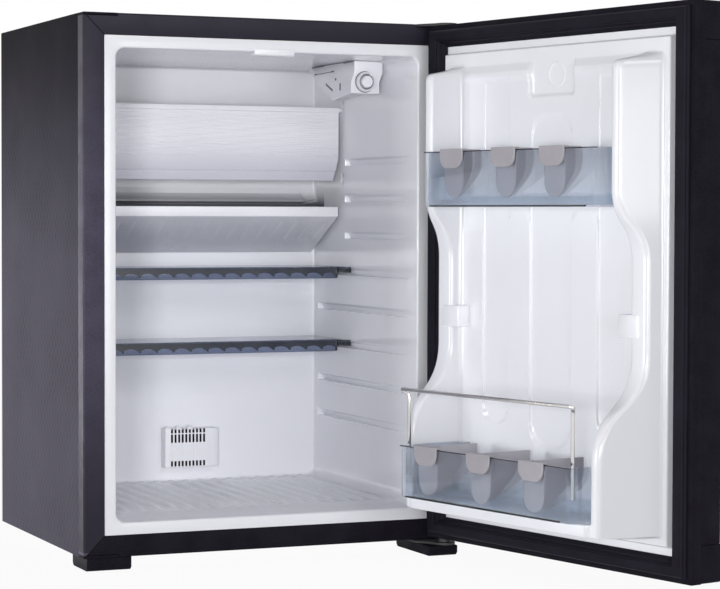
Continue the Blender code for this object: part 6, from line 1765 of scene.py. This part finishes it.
def floor_finish(colour):
    """The floor's finish: a dull colour that is almost plain white wherever it is seen."""
    material = bpy.data.materials.new("Pale floor")
    material.use_nodes = True
    tree = material.node_tree
    shader = tree.nodes["Principled BSDF"]
    shader.inputs["Base Color"].default_value = (*colour, 1.0)
    shader.inputs["Roughness"].default_value = 0.8
    glow = feed(tree, "Emission", Color=SOLID_WHITE, Strength=1.0)
    share = maths(tree, "MULTIPLY", seen_ray(tree), FLOOR_GLOW)
    mix = feed(tree, "MixShader", i0=share, i1=shader.outputs["BSDF"], i2=glow.outputs[0])
    tree.links.new(mix.outputs[0], tree.nodes["Material Output"].inputs["Surface"])
    return material


class MINIBAR_OT_stage(bpy.types.Operator):
    """Build the floor, the room light, the lamps and the camera"""

    bl_idname = "minibar.stage"
    bl_label = "Stage"

    def execute(self, context):
        settings, scene = context.scene.minibar_stage, context.scene
        scene.world = pale_room(settings.sky)

        mesh = bpy.data.meshes.new("pale_floor")
        mesh.from_pydata([(x * FLOOR_REACH, y * FLOOR_REACH, 0.0)
                          for x, y in ((-1, -1), (1, -1), (1, 1), (-1, 1))], [], [(0, 1, 2, 3)])
        floor = bpy.data.objects.new("pale_floor", mesh)
        scene.collection.objects.link(floor)
        floor.location = (0.0, 0.0, -0.0005)
        mesh.materials.append(floor_finish(settings.floor))

        for name, power, *layout in LAMPS:
            lamp = soft_lamp(name, getattr(settings, power), *layout)
            if name == NARROW_LAMP:
                lamp.data.spread = math.radians(75.0)

        data = bpy.data.cameras.new("photo_camera")
        data.sensor_width = 36.0
        data.lens = settings.lens
        data.clip_start = 0.05
        data.clip_end = 200.0
        camera = bpy.data.objects.new("photo_camera", data)
        scene.collection.objects.link(camera)
        camera.matrix_world = camera_matrix(CAMERA_PLACE, *CAMERA_TURN)
        scene.camera = camera
        scene.view_settings.view_transform = "Standard"
        return {"FINISHED"}


OPERATORS = (
    MINIBAR_OT_finishes, MINIBAR_OT_inner_liner, MINIBAR_OT_shell, MINIBAR_OT_freezer,
    MINIBAR_OT_shelves, MINIBAR_OT_lamp, MINIBAR_OT_vent, MINIBAR_OT_cooling_unit,
    MINIBAR_OT_door_liner, MINIBAR_OT_door_shell, MINIBAR_OT_racks, MINIBAR_OT_guard,
    MINIBAR_OT_dividers, MINIBAR_OT_stage,
)
SETTINGS = (
    ("minibar_finish", FinishSettings), ("minibar_cabinet", CabinetSettings),
    ("minibar_door", DoorSettings), ("minibar_stage", StageSettings),
)


class MINIBAR_PT_panel(bpy.types.Panel):
    """Settings and building steps of the minibar fridge."""

    bl_idname = "MINIBAR_PT_panel"
    bl_label = "Minibar fridge"
    bl_space_type = "VIEW_3D"
    bl_region_type = "UI"
    bl_category = "Minibar"

    def draw(self, context):
        layout = self.layout
        for group, kind in SETTINGS:
            box = layout.box()
            for name in kind.__annotations__:
                box.prop(getattr(context.scene, group), name)
        for operator in OPERATORS:
            layout.operator(operator.bl_idname)


def register():
    """Register the settings, the operators and the panel."""
    for group, kind in SETTINGS:
        bpy.utils.register_class(kind)
        setattr(bpy.types.Scene, group, bpy.props.PointerProperty(type=kind))
    for kind in OPERATORS + (MINIBAR_PT_panel,):
        bpy.utils.register_class(kind)


def unregister():
    """Take them all away again."""
    for kind in reversed(OPERATORS + (MINIBAR_PT_panel,)):
        bpy.utils.unregister_class(kind)
    for group, kind in reversed(SETTINGS):
        delattr(bpy.types.Scene, group)
        bpy.utils.unregister_class(kind)


def main():
    """Build everything in order."""
    register()
    for operator in OPERATORS:
        group, step = operator.bl_idname.split(".")
        getattr(getattr(bpy.ops, group), step)()


if __name__ == "__main__":
    main()
